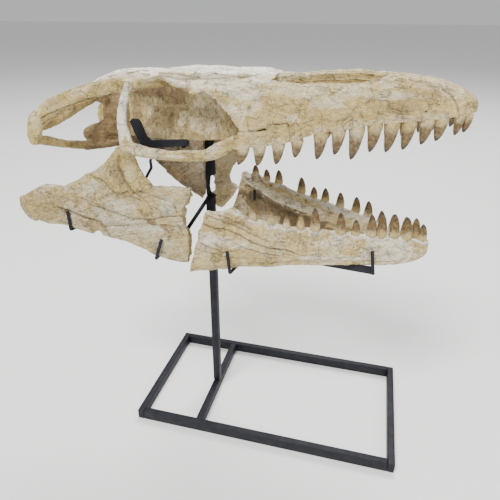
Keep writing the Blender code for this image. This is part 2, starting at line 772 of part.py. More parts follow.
def dentary(low_line, high_line, rear):
    """A jaw ramus with its tooth row on the outer side and a rounded shelf along the inner side."""
    rings = []
    for x in [rear, rear + 0.012] + spread(0.030, 0.490, 11) + [0.515, 0.533, DENTARY_FRONT]:
        low, high = low_line(x), high_line(x)
        outer = ramus_half_width(x)
        thick = dentary_thickness(x)
        shear = mix(0.30, 0.0, ease(x, 0.0, 0.12))
        shelf = mix(0.90, 0.66, ease(x, 0.04, 0.26))
        hollow = mix(0.66, 0.90, ease(x, 0.38, 0.52))
        section = [
            (outer - 0.50 * thick, 0.0), (outer - 0.14 * thick, 0.10), (outer, 0.42),
            (outer - 0.04 * thick, 0.74), (outer - 0.16 * thick, 0.97),
            (outer - 0.66 * thick, 1.0), (outer - 0.98 * thick, shelf),
            (outer - 0.98 * thick, shelf - 0.10), (outer - hollow * thick, shelf - 0.20),
            (outer - 0.92 * thick, 0.10),
        ]
        height = high - low
        rings.append([
            Vector((x + shear * share * height, -y, low + share * height)) for y, share in section
        ])
    return loft(rings)


def lower_teeth(stations, high_line):
    made = []
    for x, length in stations:
        width = min(0.0125 + 0.22 * length, 0.024)
        y = -(ramus_half_width(x) - 0.38 * dentary_thickness(x))
        made.append(tooth((x, y, high_line(x)), length, width, down=1, lean=-0.06))
    return gathered(made)


def make_dentaries():
    finish = bone_material("dentary_bone")
    right = add("dentary_right", dentary(dentary_bottom, dentary_top, -0.018), finish)
    join(right, "dentary_right_teeth", lower_teeth(RIGHT_DENTARY_TEETH, dentary_top))
    body = mirrored(dentary(left_dentary_bottom, left_dentary_top, -0.004))
    teeth = mirrored(lower_teeth(LEFT_DENTARY_TEETH, left_dentary_top))
    for mesh in (body, teeth):
        for vert in mesh.verts:
            vert.co.y += LEFT_RAMUS_SPLAY * (1 - ease(vert.co.x, 0.40, 0.54))
    left = add("dentary_left", body, finish)
    join(left, "dentary_left_teeth", teeth)


rear_jaw_top = line(
    (-0.470, 0.642), (-0.440, 0.660), (-0.410, 0.676), (-0.386, 0.680), (-0.364, 0.674),
    (-0.331, 0.686), (-0.301, 0.699), (-0.262, 0.722), (-0.235, 0.716), (-0.20, 0.702),
    (-0.13, 0.700), (-0.082, 0.707), (-0.023, 0.708), (-0.006, 0.700),
)
rear_jaw_bottom = line(
    (-0.478, 0.600), (-0.452, 0.576), (-0.403, 0.581), (-0.355, 0.583), (-0.320, 0.574),
    (-0.275, 0.570), (-0.223, 0.559), (-0.160, 0.545), (-0.099, 0.522), (-0.037, 0.511),
    (-0.022, 0.513),
)
rear_jaw_outer = line((-0.478, 0.128), (-0.40, 0.136), (-0.25, 0.138), (-0.10, 0.136), (-0.006, 0.131))
rear_jaw_suture = line((-0.262, 0.5715), (-0.22, 0.590), (-0.14, 0.603), (-0.02, 0.606))


rear_jaw_thickness = line((-0.478, 0.022), (-0.40, 0.040), (-0.34, 0.042), (-0.25, 0.030), (-0.006, 0.022))
REAR_JAW_STATIONS = spread(-0.3400, -0.022, 14)
rear_jaw_front = line((0.500, -0.022), (0.550, -0.015), (0.584, -0.013), (0.636, -0.027), (0.690, -0.006))


def lip_room(x):
    """Depth by which the surangular's upper part is let in under the coronoid's outer lip."""
    return 0.006 * ease(x, -0.23, -0.205) * (1 - ease(x, -0.135, -0.115))


def jaw_plate(stations, low_line, high_line):
    """A tall plate of the rear jaw between two lines, bulging slightly outwards."""
    rings = []
    for x in stations:
        low, high = low_line(x), high_line(x)
        outer, thick = rear_jaw_outer(x), rear_jaw_thickness(x)
        room = lip_room(x) if high_line is rear_jaw_top else 0.0
        forward = ease(x, -0.16, -0.022)
        section = [
            (outer - 0.40 * thick, 0.0), (outer - 0.06 * thick, 0.08), (outer, 0.38),
            (outer - room, 0.50), (outer - 0.05 * thick - room, 0.86), (outer - 0.24 * thick - room, 1.0),
            (outer - 0.80 * thick, 1.0), (outer - thick, 0.75), (outer - 0.94 * thick, 0.25),
        ]
        ring = []
        for y, share in section:
            z = mix(low, high, share)
            shift = (rear_jaw_front(z) + 0.022) * forward
            ring.append(Vector((x + shift, -y, z)))
        rings.append(ring)
    return loft(rings)


def surangular_bottom(x):
    seam = rear_jaw_suture(x) + GAP
    return max(rear_jaw_bottom(x), seam) if x > -0.262 else rear_jaw_bottom(x)


def angular_top(x):
    return rear_jaw_suture(x) - GAP


def surangular():
    return jaw_plate(REAR_JAW_STATIONS, surangular_bottom, rear_jaw_top)


def make_rear_jaw():
    """Right rear jaw unit: surangular, angular and articular."""
    add("surangular_right", surangular(), bone_material("surangular_bone"))
    articular_stations = [-0.478, -0.470, -0.455, -0.432, -0.405, -0.375, -0.355, -0.3405]
    articular = jaw_plate(articular_stations, rear_jaw_bottom, rear_jaw_top)
    add("articular_right", articular, bone_material("articular_bone"))
    angular = jaw_plate([x for x in REAR_JAW_STATIONS if x > -0.260], rear_jaw_bottom, angular_top)
    add("angular_right", angular, bone_material("angular_bone"))


def make_coronoid():
    """Upright process that rides on the surangular, with a lip over its outer face."""
    top = line(
        (-0.246, 0.7260), (-0.221, 0.747), (-0.198, 0.768), (-0.182, 0.788), (-0.168, 0.795),
        (-0.140, 0.790), (-0.130, 0.752), (-0.112, 0.722), (-0.098, 0.711),
    )
    lip = line(
        (-0.246, 0.716), (-0.215, 0.700), (-0.185, 0.682), (-0.155, 0.680), (-0.130, 0.700),
        (-0.098, 0.7085),
    )
    rings = []
    for x in [-0.246, -0.232, -0.216, -0.20, -0.184, -0.168, -0.152, -0.140, -0.130, -0.116, -0.098]:
        seat, high = rear_jaw_top(x) - 0.002, top(x)
        thick = rear_jaw_thickness(x)
        outer = rear_jaw_outer(x)
        face = outer - lip_room(x) + GAP
        hang = min(lip(x), seat - 0.0015)
        reach = mix(0.0010, 0.0055, ease(lip_room(x), 0.0, 0.006))
        rings.append([
            Vector((x, -face, hang)),
            Vector((x, -face - reach * 0.8, hang + 0.0008)),
            Vector((x, -face - reach * 0.5, seat + 0.002)),
            Vector((x, -outer + 0.22 * thick, mix(seat, high, 0.6) + 0.001)),
            Vector((x, -outer + 0.34 * thick, high)),
            Vector((x, -outer + 0.60 * thick, high)),
            Vector((x, -outer + 0.80 * thick, seat + 0.001)),
            Vector((x, -outer + 0.78 * thick, seat)),
            Vector((x, -face, seat)),
        ])
    piece = add("coronoid_right", loft(rings), bone_material("coronoid_bone"))
    cut(piece, "coronoid_seat", swollen(surangular()))


# ---------------------------------------------------------------- stand

def rod(name, points, finish, radius=CLIP_RADIUS, lean=(1.0, 0.0, 0.0), sides=6):
    sizes = [2 * radius] * len(points)
    return add(name, limb(points, sizes, sizes, lean, sides, 2.0), finish)


def rounded(points, radius=0.004):
    """The same bent line with each corner cut to two bends."""
    corners = [Vector(point) for point in points]
    line_points = [corners[0]]
    for before, corner, after in zip(corners, corners[1:], corners[2:]):
        line_points.append(corner + (before - corner).normalized() * radius)
        line_points.append(corner + (after - corner).normalized() * radius)
    line_points.append(corners[-1])
    return line_points


def make_frame(finish):
    low, high = 0.0, TUBE_HEIGHT
    inner_left, inner_right = FRAME_LEFT + TUBE_WIDTH + GAP, FRAME_RIGHT - TUBE_WIDTH - GAP
    inner_front, inner_back = FRAME_FRONT + TUBE_WIDTH, FRAME_BACK - TUBE_WIDTH
    half = TUBE_WIDTH / 2
    rails = {
        "left": ((FRAME_LEFT, FRAME_FRONT, low), (FRAME_LEFT + TUBE_WIDTH, FRAME_BACK, high)),
        "right": ((FRAME_RIGHT - TUBE_WIDTH, FRAME_FRONT, low), (FRAME_RIGHT, FRAME_BACK, high)),
        "front": ((inner_left, FRAME_FRONT, low), (inner_right, inner_front, high)),
        "back": ((inner_left, inner_back, low), (inner_right, FRAME_BACK, high)),
        "cross": ((-half, inner_front + GAP, low), (half, inner_back - GAP, high)),
    }
    for side, (start, end) in rails.items():
        add("stand_rail_" + side, block(start, end), finish, 30)


def make_post(finish):
    half = POST_WIDTH / 2
    add("stand_post", block((-half, -half, TUBE_HEIGHT + GAP), (half, half, POST_TOP)), finish, 30)
    neck = [(-half, POST_TOP + GAP), (half, POST_TOP + GAP), (half, 0.660)]
    for turn in (40, 90, 140):
        bite = math.radians(turn)
        neck.append((half - 0.010 * math.sin(bite), 0.682 - 0.022 * math.cos(bite)))
    neck += [(half, 0.705), (0.008, 0.797), (-0.0135, 0.797)]
    half_plate = PLATE_THICKNESS / 2
    add("stand_neck", plate(neck, -half_plate, half_plate, 0.99), finish, 30)


def make_arm(finish):
    """Flat arm inside the right orbit, with an upturned rest for the side wall."""
    y = -0.0665
    outline = [
        (-0.0255, 0.7910), (-0.0275, 0.8050), (-0.118, 0.7965), (-0.1290, 0.8030), (-0.1415, 0.838),
    ]
    for turn in (60, 120, 180):
        bend = math.radians(turn)
        outline.append((-0.1555 + 0.014 * math.cos(bend), 0.838 + 0.008 * math.sin(bend)))
    outline += [(-0.160, 0.812), (-0.146, 0.783), (-0.132, 0.7765)]
    half_plate = PLATE_THICKNESS / 2
    add("stand_arm", plate(outline, y - half_plate, y + half_plate, 0.99), finish, 30)
    bend = [
        (-0.043, y + half_plate + GAP, 0.787), (-0.043, -0.040, 0.787), (-0.034, -0.028, 0.787),
        (-0.0075, -half_plate - 0.006, 0.787),
    ]
    link = limb(bend, [0.012] * 4, [PLATE_THICKNESS] * 4, sides=4, power=8.0)
    add("stand_arm_link", link, finish, 30)


def make_jaw_bar(finish):
    """Flat bar from the post to the front of the jaw, on edge between the two rami."""
    half = POST_WIDTH / 2 + GAP
    rings = []
    for x, y in ((half, 0.0), (0.425, -0.0445)):
        low, high = 0.501, mix(0.512, 0.521, x / 0.425)
        rings.append([
            Vector((x, y - 0.003, low)), Vector((x, y + 0.003, low)),
            Vector((x, y + 0.003, high)), Vector((x, y - 0.003, high)),
        ])
    add("stand_jaw_bar", loft(rings), finish, 30)


def make_clips(finish):
    prongs = {
        "stand_clip_articular": [
            (-0.3291, -0.1415, 0.6235), (-0.3310, -0.1415, 0.5700), (-0.3250, -0.0880, 0.5640),
            (-0.3220, -0.0850, 0.5762),
        ],
        "stand_clip_angular": [
            (-0.0802, -0.1415, 0.5752), (-0.0990, -0.1415, 0.5160), (-0.1010, -0.0880, 0.5150),
            (-0.0960, -0.0850, 0.5758),
        ],
        "stand_clip_dentary_rear": [
            (0.0808, -0.1255, 0.5567), (0.0819, -0.1245, 0.4960), (0.0900, -0.0850, 0.4960),
            (0.0990, -0.0165, 0.5040),
        ],
        "stand_clip_dentary_front": [
            (0.4163, -0.0520, 0.5654), (0.4250, -0.0515, 0.5050),
        ],
    }
    for name, points in prongs.items():
        rod(name, rounded(points), finish)
    staple = [(0.0900, 0.1040, 0.6330), (0.0900, 0.1040, 0.6040)]
    rod("stand_clip_dentary_left", staple, finish)
    strut = [(0.099, -0.0045, 0.507), (0.095, 0.118, 0.5005)]
    rod("stand_strut_dentary_left", strut, finish)
    jaw_rod = [(-0.3300, -0.0850, 0.5820), (-0.0300, -0.0850, 0.5800)]
    rod("stand_jaw_rod", jaw_rod, finish, ROD_RADIUS, (0.0, 0.0, 1.0), 8)
    strut = [(-0.0040, -0.0150, 0.6420), (-0.0354, -0.0797, 0.5843)]
    rod("stand_strut_rear", strut, finish, ROD_RADIUS, (1.0, 0.0, 0.0), 8)
    hook = rounded([
        (-0.1060, -0.0700, 0.7720), (-0.1110, -0.0980, 0.7580), (-0.1086, -0.1000, 0.7412),
        (-0.1280, -0.1125, 0.7055),
    ])
    rod("stand_clip_coronoid", hook, finish, 0.0022, (0.0, 1.0, 0.0))


def make_stand():
    finish = steel_material("blackened_steel")
    make_frame(finish)
    make_post(finish)
    make_arm(finish)
    make_jaw_bar(finish)
    make_clips(finish)


clear_scene()
make_maxillae()
make_premaxilla()
make_vomer()
make_roof_and_cheeks()
make_palate()
make_dentaries()
make_rear_jaw()
make_coronoid()
make_stand()
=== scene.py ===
# %% [markdown]
# # A mosasaur skull on its museum stand
#
# Mosasaurs were marine lizards. This skull is about a metre long, and its bones were freed from
# soft phosphate rock and set back in their places with the jaws agape. A blackened steel mount
# carries it. The imported solids give every bone its place and size. This lesson gives each bone
# the skin of a fossil: fibres, cracks, nerve openings, bleached and stained patches, and plaster
# where the preparator filled a gap.
#
# The solids come in first.

# %% Load the solids
import math

import bmesh
import bpy
import numpy as np
from mathutils import Matrix, Vector, noise
from mathutils.bvhtree import BVHTree


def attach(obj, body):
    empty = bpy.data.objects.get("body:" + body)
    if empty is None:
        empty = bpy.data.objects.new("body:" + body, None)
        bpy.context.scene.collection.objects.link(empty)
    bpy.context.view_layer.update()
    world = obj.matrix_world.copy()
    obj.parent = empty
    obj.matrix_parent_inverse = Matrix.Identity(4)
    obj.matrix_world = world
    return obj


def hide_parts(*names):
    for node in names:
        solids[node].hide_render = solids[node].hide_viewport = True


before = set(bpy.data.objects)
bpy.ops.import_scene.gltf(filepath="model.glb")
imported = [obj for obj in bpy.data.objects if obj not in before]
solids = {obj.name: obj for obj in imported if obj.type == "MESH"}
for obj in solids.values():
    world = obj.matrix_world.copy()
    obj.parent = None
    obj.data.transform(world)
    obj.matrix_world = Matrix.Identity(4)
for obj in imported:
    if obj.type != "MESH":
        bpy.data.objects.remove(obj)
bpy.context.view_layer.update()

MM = 0.001

# %% [markdown]
# ## The visitor's eye
#
# A visitor looks at the right side of the skull from a little above it and from the left of its
# middle. A camera's turn could be typed as three Euler angles, but it is easier to read as a
# product: turn left, tip down, then lean. The lens is a little wider than a normal one.

# %% Camera
EYE = Vector((0.3796, -1.0547, 1.0635))
TURN_LEFT, TIP_DOWN, LEAN = math.radians(14.6), math.radians(27.24), math.radians(0.19)

view = bpy.data.cameras.new("visitor")
view.lens = 33.09
view.sensor_width = 36.0
camera = bpy.data.objects.new("visitor", view)
camera.matrix_world = (
    Matrix.Translation(EYE)
    @ Matrix.Rotation(TURN_LEFT, 4, "Z")
    @ Matrix.Rotation(math.pi / 2 - TIP_DOWN, 4, "X")
    @ Matrix.Rotation(LEAN, 4, "Z")
)
bpy.context.scene.collection.objects.link(camera)
bpy.context.scene.camera = camera
print("eye height:", EYE.z)

# %% [markdown]
# ## Floor and light
#
# Bone looks best in broad, soft light. Point lights would give each tooth a hard shadow, so the
# light comes from large area lamps: a key from above and in front, a weaker fill from the other
# side, and one behind that lifts the edges of the roof. The floor is plain and pale.

# %% Floor
def new_piece(name, mesh):
    """A mesh object made from a bmesh, which is then freed."""
    data = bpy.data.meshes.new(name)
    mesh.to_mesh(data)
    mesh.free()
    piece = bpy.data.objects.new(name, data)
    bpy.context.scene.collection.objects.link(piece)
    return piece


def new_material(name, roughness):
    """A material with its nodes ready, and its shader."""
    material = bpy.data.materials.new(name)
    material.use_nodes = True
    shader = material.node_tree.nodes["Principled BSDF"]
    shader.inputs["Roughness"].default_value = roughness
    return material, shader


FLOOR_HALF = 60.0
floor_mesh = bmesh.new()
bmesh.ops.create_grid(floor_mesh, x_segments=1, y_segments=1, size=FLOOR_HALF)
floor = new_piece("floor", floor_mesh)
floor_finish, floor_shader = new_material("pale_floor", 0.8)
floor_shader.inputs["Base Color"].default_value = (0.86, 0.855, 0.84, 1)
floor.data.materials.append(floor_finish)
floor.location.z = -0.5 * MM
print("floor:", 2 * FLOOR_HALF, "m wide, top at", round(floor.location.z / MM, 2), "mm")

# %% Lamps
AIM = Vector((0.08, 0.0, 0.72))


def lamp(name, place, size, power):
    """A round lamp that faces the skull. Its size is in metres and its power in watts."""
    light = bpy.data.lights.new(name, "AREA")
    light.shape = "DISK"
    light.size = size
    light.energy = power
    made = bpy.data.objects.new(name, light)
    made.location = place
    made.rotation_euler = (AIM - Vector(place)).to_track_quat("-Z", "Y").to_euler()
    bpy.context.scene.collection.objects.link(made)


lamp("key", (-1.2, -3.6, 6.4), size=2.6, power=640)
lamp("fill", (2.6, -1.6, 1.6), size=2.0, power=24)
lamp("behind", (0.4, 3.6, 5.8), size=3.0, power=400)

world = bpy.data.worlds.new("studio")
world.use_nodes = True
sky = world.node_tree.nodes["Background"]
sky.inputs["Color"].default_value = (0.89, 0.895, 0.905, 1)
sky.inputs["Strength"].default_value = 0.62
bpy.context.scene.world = world
print("lamps:", [light.name for light in bpy.data.lights])

# %% [markdown]
# ## Node groups that several finishes share
#
# A node group works like a function: it has named inputs and outputs, and each material calls
# it with its own values. Three groups follow, and a few helpers that keep their recipes short:
# one adds a node and feeds its sockets, and the others do sums, steps, mixes and noise.

# %% Node helpers
def new_group(name, inputs, outputs):
    """An empty shader group with its sockets, and its two end nodes."""
    group = bpy.data.node_groups.new(name, "ShaderNodeTree")
    for way, sockets in (("INPUT", inputs), ("OUTPUT", outputs)):
        for label, kind, value in sockets:
            socket = group.interface.new_socket(label, in_out=way, socket_type="NodeSocket" + kind)
            if value is not None:
                socket.default_value = value
    return group, group.nodes.new("NodeGroupInput"), group.nodes.new("NodeGroupOutput")


def feed(tree, socket, source):
    """Links a socket to another one, or gives it a plain value."""
    if isinstance(source, bpy.types.NodeSocket):
        tree.links.new(source, socket)
    else:
        socket.default_value = source


def add_node(tree, kind, settings=(), **links):
    """A shader node. Settings are attributes, and i0, i1 and so on stand for numbered sockets."""
    node = tree.nodes.new("ShaderNode" + kind)
    for label, value in dict(settings).items():
        setattr(node, label, value)
    for label, source in links.items():
        wanted = label.replace("_", " ")
        feed(tree, node.inputs[int(wanted[1:]) if wanted[1:].isdigit() else wanted], source)
    return node


def called(tree, group, **links):
    """A node that calls a group, with a link or a plain value for each of its inputs."""
    node = tree.nodes.new("ShaderNodeGroup")
    node.node_tree = group
    for label, source in links.items():
        feed(tree, node.inputs[label], source)
    return node


def object_place(tree):
    """Each point's place in the object's own axes, in metres."""
    return add_node(tree, "TexCoord").outputs["Object"]


def stored(tree, label):
    """A number that was stored on the points of the surface."""
    return add_node(tree, "Attribute", {"attribute_name": label}).outputs["Fac"]


def math_node(tree, operation, a, b=0.0):
    return add_node(tree, "Math", {"operation": operation}, i0=a, i1=b).outputs[0]


def scaled(tree, value, by):
    return math_node(tree, "MULTIPLY", value, by)


def scaled_onto(tree, base, value, by):
    """The base with a share of the value added to it."""
    settings = {"operation": "MULTIPLY_ADD"}
    return add_node(tree, "Math", settings, i0=value, i1=by, i2=base).outputs[0]


def mix_colours(tree, share, under, over, blend="MIX"):
    """The upper colour laid over the lower one by a share. Sockets 6 and 7 hold the colours."""
    settings = {"data_type": "RGBA", "blend_type": blend}
    return add_node(tree, "Mix", settings, i0=share, i6=under, i7=over).outputs[2]


def step_node(tree, value, low, high):
    """0 below low and 1 above high."""
    settings = {"interpolation_type": "SMOOTHSTEP"}
    return add_node(tree, "MapRange", settings, Value=value, From_Min=low, From_Max=high).outputs[0]


def noise_node(tree, vector, scale, detail=4.0, distortion=0.0):
    links = {"Vector": vector, "Scale": scale, "Detail": detail, "Distortion": distortion}
    return add_node(tree, "TexNoise", **links).outputs["Fac"]


# %% [markdown]
# ### Minerals, fibres and cracks
#
# In the ground, minerals soak into a bone unevenly. The first group spreads three colours in
# soft patches, with a fine mottle over them. Its pale share also takes painted light and its
# stain share painted shade, from the amounts that each bone stores on its points. The second
# draws the fibres: noise that is pulled out along the bone gives streaks, thin splits and open
# pores. The third draws hairline cracks, which are the edges between random cells, broken up so
# that no crack closes into a ring.

# %% Patches of colour
tones, tones_in, tones_out = new_group(
    "mineral patches",
    [
        ("Vector", "Vector", None), ("Bone", "Color", (0.6, 0.5, 0.3, 1)),
        ("Bleached", "Color", (0.8, 0.8, 0.7, 1)), ("Stain", "Color", (0.5, 0.35, 0.15, 1)),
        ("Bleaching", "Float", 0.5), ("Staining", "Float", 0.5),
    ],
    [("Color", "Color", None), ("Pallor", "Float", None)],
)
where = tones_in.outputs["Vector"]
soft = noise_node(tones, where, 19.0, 6.0, 0.5)
stain_share = step_node(tones, math_node(tones, "ADD", soft, tones_in.outputs["Staining"]), 0.82, 1.22)
patchy = noise_node(tones, where, 17.0, 6.0, 0.7)
pale_share = step_node(tones, math_node(tones, "ADD", patchy, tones_in.outputs["Bleaching"]), 0.84, 1.26)
stained = mix_colours(tones, stain_share, tones_in.outputs["Bone"], tones_in.outputs["Stain"])
bleached = mix_colours(tones, pale_share, stained, tones_in.outputs["Bleached"])
mottle = step_node(tones, noise_node(tones, where, 105.0, 6.0, 0.4), 0.30, 0.72)
mottled_bone = mix_colours(tones, 0.13, bleached, mottle, "OVERLAY")
speckle = step_node(tones, noise_node(tones, where, 420.0, 4.0), 0.28, 0.72)
grainy = mix_colours(tones, 0.26, mottled_bone, speckle, "OVERLAY")
tones.links.new(grainy, tones_out.inputs["Color"])
tones.links.new(pale_share, tones_out.inputs["Pallor"])
print("mineral patches:", len(tones.nodes), "nodes")

# %% Fibres of bone
fibres, fibres_in, fibres_out = new_group(
    "bone fibres",
    [
        ("Vector", "Vector", None), ("Turn", "Vector", (0, 0, 0)),
        ("Stretch", "Vector", (20, 170, 170)),
    ],
    [
        ("Height", "Float", None), ("Streak", "Float", None), ("Split", "Float", None),
        ("Pore", "Float", None),
    ],
)
turned = add_node(
    fibres, "Mapping",
    Vector=fibres_in.outputs["Vector"], Rotation=fibres_in.outputs["Turn"],
)
laid = add_node(
    fibres, "VectorMath", {"operation": "MULTIPLY"},
    i0=turned.outputs[0], i1=fibres_in.outputs["Stretch"],
)
strands = noise_node(fibres, laid.outputs[0], 1.0, 7.0, 0.6)
fibres.links.new(strands, fibres_out.inputs["Height"])
fibres.links.new(step_node(fibres, strands, 0.58, 0.40), fibres_out.inputs["Streak"])
fine_strands = noise_node(fibres, laid.outputs[0], 1.9, 3.0, 0.9)
near_middle = math_node(fibres, "ABSOLUTE", math_node(fibres, "SUBTRACT", fine_strands, 0.5))
thin_split = step_node(fibres, near_middle, 0.028, 0.006)
open_here = step_node(fibres, noise_node(fibres, fibres_in.outputs["Vector"], 36.0, 3.0), 0.52, 0.62)
fibres.links.new(math_node(fibres, "MULTIPLY", thin_split, open_here), fibres_out.inputs["Split"])
short = add_node(fibres, "VectorMath", {"operation": "SCALE"}, i0=laid.outputs[0], Scale=1.5)
crumbs = noise_node(fibres, short.outputs[0], 1.0, 5.0, 1.6)
crumbly = step_node(fibres, noise_node(fibres, fibres_in.outputs["Vector"], 30.0, 4.0), 0.40, 0.62)
pores = math_node(fibres, "MULTIPLY", step_node(fibres, crumbs, 0.385, 0.325), crumbly)
fibres.links.new(pores, fibres_out.inputs["Pore"])
print("bone fibres:", len(fibres.nodes), "nodes")

# %% Hairline cracks
CRACK_WANDER = 36 * MM

cracks, cracks_in, cracks_out = new_group(
    "hairline cracks",
    [("Vector", "Vector", None), ("Scale", "Float", 30.0), ("Width", "Float", 0.02)],
    [("Mask", "Float", None)],
)
wobble = add_node(cracks, "TexNoise", Vector=cracks_in.outputs["Vector"], Scale=46.0, Detail=6.0)
pulled = add_node(
    cracks, "VectorMath", {"operation": "MULTIPLY_ADD"},
    i0=wobble.outputs["Color"], i1=3 * (CRACK_WANDER,), i2=cracks_in.outputs["Vector"],
)
cells = add_node(
    cracks, "TexVoronoi", {"feature": "DISTANCE_TO_EDGE"},
    Vector=pulled.outputs[0], Scale=cracks_in.outputs["Scale"],
)
thin = step_node(cracks, cells.outputs["Distance"], cracks_in.outputs["Width"], 0.0)
broken = step_node(cracks, noise_node(cracks, cracks_in.outputs["Vector"], 24.0, 2.0), 0.46, 0.56)
cracks.links.new(math_node(cracks, "MULTIPLY", thin, broken), cracks_out.inputs["Mask"])
print("groups:", [group.name for group in bpy.data.node_groups])

# %% [markdown]
# ## The finish of fossil bone
#
# Each bone has the same recipe with its own colours: patches first, then darker streaks between
# the fibres, then dirt and painted shade in the recesses and plaster where a gap was filled. Some
# colours belong to a place and not to chance. Faces that look up are made paler as painted light,
# and faces that look down, and the inner faces of the jaws, are made browner as painted shade; the
# pale roof is bleached bone with painted light on it. Those are worked out on the sculpted surface
# and stored on its points, in four attributes: paleness with painted light, umber with painted
# shade, the recesses and the filler, and the material reads them here. A colour is red, green,
# blue and an opacity of 1, each a share of the light that comes back.

# %% Bone finish
BONE = (0.55, 0.432, 0.182, 1)
# The bleached colour is also painted light where faces look up.
BLEACHED = (0.60, 0.538, 0.368, 1)
# The stain colour also takes painted shade where faces look down or inwards.
STAIN = (0.47, 0.345, 0.130, 1)
# The umber colour is stains and painted shade on undersides, inner faces and hollows, and it also darkens
# the pores.
UMBER = (0.215, 0.150, 0.075, 1)
STREAK = (0.52, 0.45, 0.33, 1)
DEEP_BROWN = (0.075, 0.052, 0.027, 1)
PLASTER = (0.68, 0.64, 0.56, 1)


# How much of each dark or pale layer is seen where its mask is full.
COVER = {"umber": 0.85, "plaster": 0.92, "split": 0.72, "pore": 0.62, "hair": 0.62}
UMBER_RAGGED = 0.9
RELIEF_DEPTH = 2.8 * MM


def covered(tree, under, mask, share, over, blend="MIX"):
    """The upper colour laid over the lower one where the mask is, by a share of it."""
    return mix_colours(tree, scaled(tree, mask, share), under, over, blend)


def fossil_finish(name, bone=BONE, bleached=BLEACHED, stain=STAIN, bleaching=0.5, staining=0.5,
                  grain=(0.0, 0.0, 0.0), streaks=0.35):
    """A bone material. `grain` turns the fibres, in radians about each axis."""
    material, shader = new_material(name, 0.7)
    tree = material.node_tree
    place = object_place(tree)
    # The stored painted light raises the bleached share, and the stored painted shade the stain share.
    patches = called(
        tree, tones, Vector=place, Bone=bone, Bleached=bleached, Stain=stain,
        Bleaching=scaled_onto(tree, bleaching, stored(tree, "pallor"), 0.42),
        Staining=scaled_onto(tree, staining, stored(tree, "umber"), 0.30),
    )
    strand = called(tree, fibres, Vector=place, Turn=grain)
    hair = called(tree, cracks, Vector=place, Scale=25.0, Width=0.030).outputs["Mask"]
    streak, split, pore = (strand.outputs[label] for label in ("Streak", "Split", "Pore"))

    colour = covered(tree, patches.outputs["Color"], streak, streaks, STREAK, "MULTIPLY")
    # Brown of stains and painted shade, with a ragged edge.
    ragged = math_node(tree, "SUBTRACT", noise_node(tree, place, 48.0, 6.0), 0.5)
    umber_edge = scaled_onto(tree, stored(tree, "umber"), ragged, UMBER_RAGGED)
    colour = covered(tree, colour, step_node(tree, umber_edge, 0.12, 0.95), COVER["umber"], UMBER)
    colour = covered(tree, colour, stored(tree, "filler"), COVER["plaster"], PLASTER)
    colour = covered(tree, colour, split, COVER["split"], DEEP_BROWN)
    colour = covered(tree, colour, pore, COVER["pore"], UMBER)
    # Dirt and painted shade darken the cracks, flake edges and recesses.
    colour = mix_colours(tree, stored(tree, "recess"), colour, DEEP_BROWN)
    colour = covered(tree, colour, hair, COVER["hair"], DEEP_BROWN)
    feed(tree, shader.inputs["Base Color"], colour)

    dull = add_node(tree, "MapRange", Value=patches.outputs["Pallor"], To_Min=0.56, To_Max=0.80)
    feed(tree, shader.inputs["Roughness"], dull.outputs[0])
    shader.inputs["Specular IOR Level"].default_value = 0.35

    grit = noise_node(tree, place, 120.0, 9.0, 0.3)
    raised = scaled_onto(tree, grit, strand.outputs["Height"], 0.9)
    opened = math_node(tree, "MAXIMUM", math_node(tree, "MAXIMUM", hair, split), pore)
    height = scaled_onto(tree, raised, opened, -0.5)
    relief = add_node(tree, "Bump", Strength=0.85, Distance=RELIEF_DEPTH, Height=height)
    feed(tree, shader.inputs["Normal"], relief.outputs[0])
    return material


# %% [markdown]
# ## From faceted solids to bones
#
# The solids have large flat faces. Subdividing them would round off the wrong places, because
# their triangles differ so much in size. A voxel remesh gives each bone an even skin of small
# faces instead, and a few rounds of smoothing then melt the flat faces into curves. Taubin's
# way of smoothing takes one step in and a slightly longer one out, so that a thin bone keeps
# its thickness.
#
# The bones of a fossil skull are pressed and glued together, and their joints hardly show. So
# each bone is first made a little fatter, to close the joint. Then a guide is made, which is
# one skin over a whole family of bones, and each bone is laid onto it where it comes close.

# %% Points as arrays
def read_points(data, what="co"):
    values = np.empty(len(data.vertices) * 3, np.float32)
    data.vertices.foreach_get(what, values)
    return values.reshape(-1, 3).astype(float)


def write_points(data, points):
    data.vertices.foreach_set("co", points.astype(np.float32).ravel())
    data.update()


def ease(value, low, high):
    """0 below low, 1 above high, with a smooth change between."""
    t = np.clip((value - low) / (high - low), 0.0, 1.0)
    return t * t * (3 - 2 * t)


def merged_copy(name):
    """A bmesh of a solid with its loose triangles joined."""
    mesh = bmesh.new()
    mesh.from_mesh(solids[name].data)
    bmesh.ops.remove_doubles(mesh, verts=mesh.verts, dist=0.01 * MM)
    return mesh


def join(mesh, other):
    """Puts a second bmesh into the first one, and frees it."""
    data = bpy.data.meshes.new("joining")
    other.to_mesh(data)
    other.free()
    mesh.from_mesh(data)
    bpy.data.meshes.remove(data)


def fatten(mesh, by):
    mesh.normal_update()
    for vert in mesh.verts:
        vert.co += vert.normal * by


print("triangles in the solids:", sum(len(solid.data.polygons) for solid in solids.values()))


# %% Even skin
COARSE = 1.0
STEP_IN, STEP_OUT = 0.52, -0.535


def settled_mesh(piece):
    """Swaps a piece's mesh for the one its modifiers make."""
    graph = bpy.context.evaluated_depsgraph_get()
    data = bpy.data.meshes.new_from_object(piece.evaluated_get(graph))
    before = piece.data
    piece.modifiers.clear()
    piece.data = data
    bpy.data.meshes.remove(before)
    data.name = piece.name


def even_skin(name, mesh, voxel):
    """A new piece with small faces of about one size."""
    piece = new_piece(name, mesh)
    remesh = piece.modifiers.new("even faces", "REMESH")
    remesh.mode = "VOXEL"
    remesh.voxel_size = voxel * COARSE
    settled_mesh(piece)
    return piece


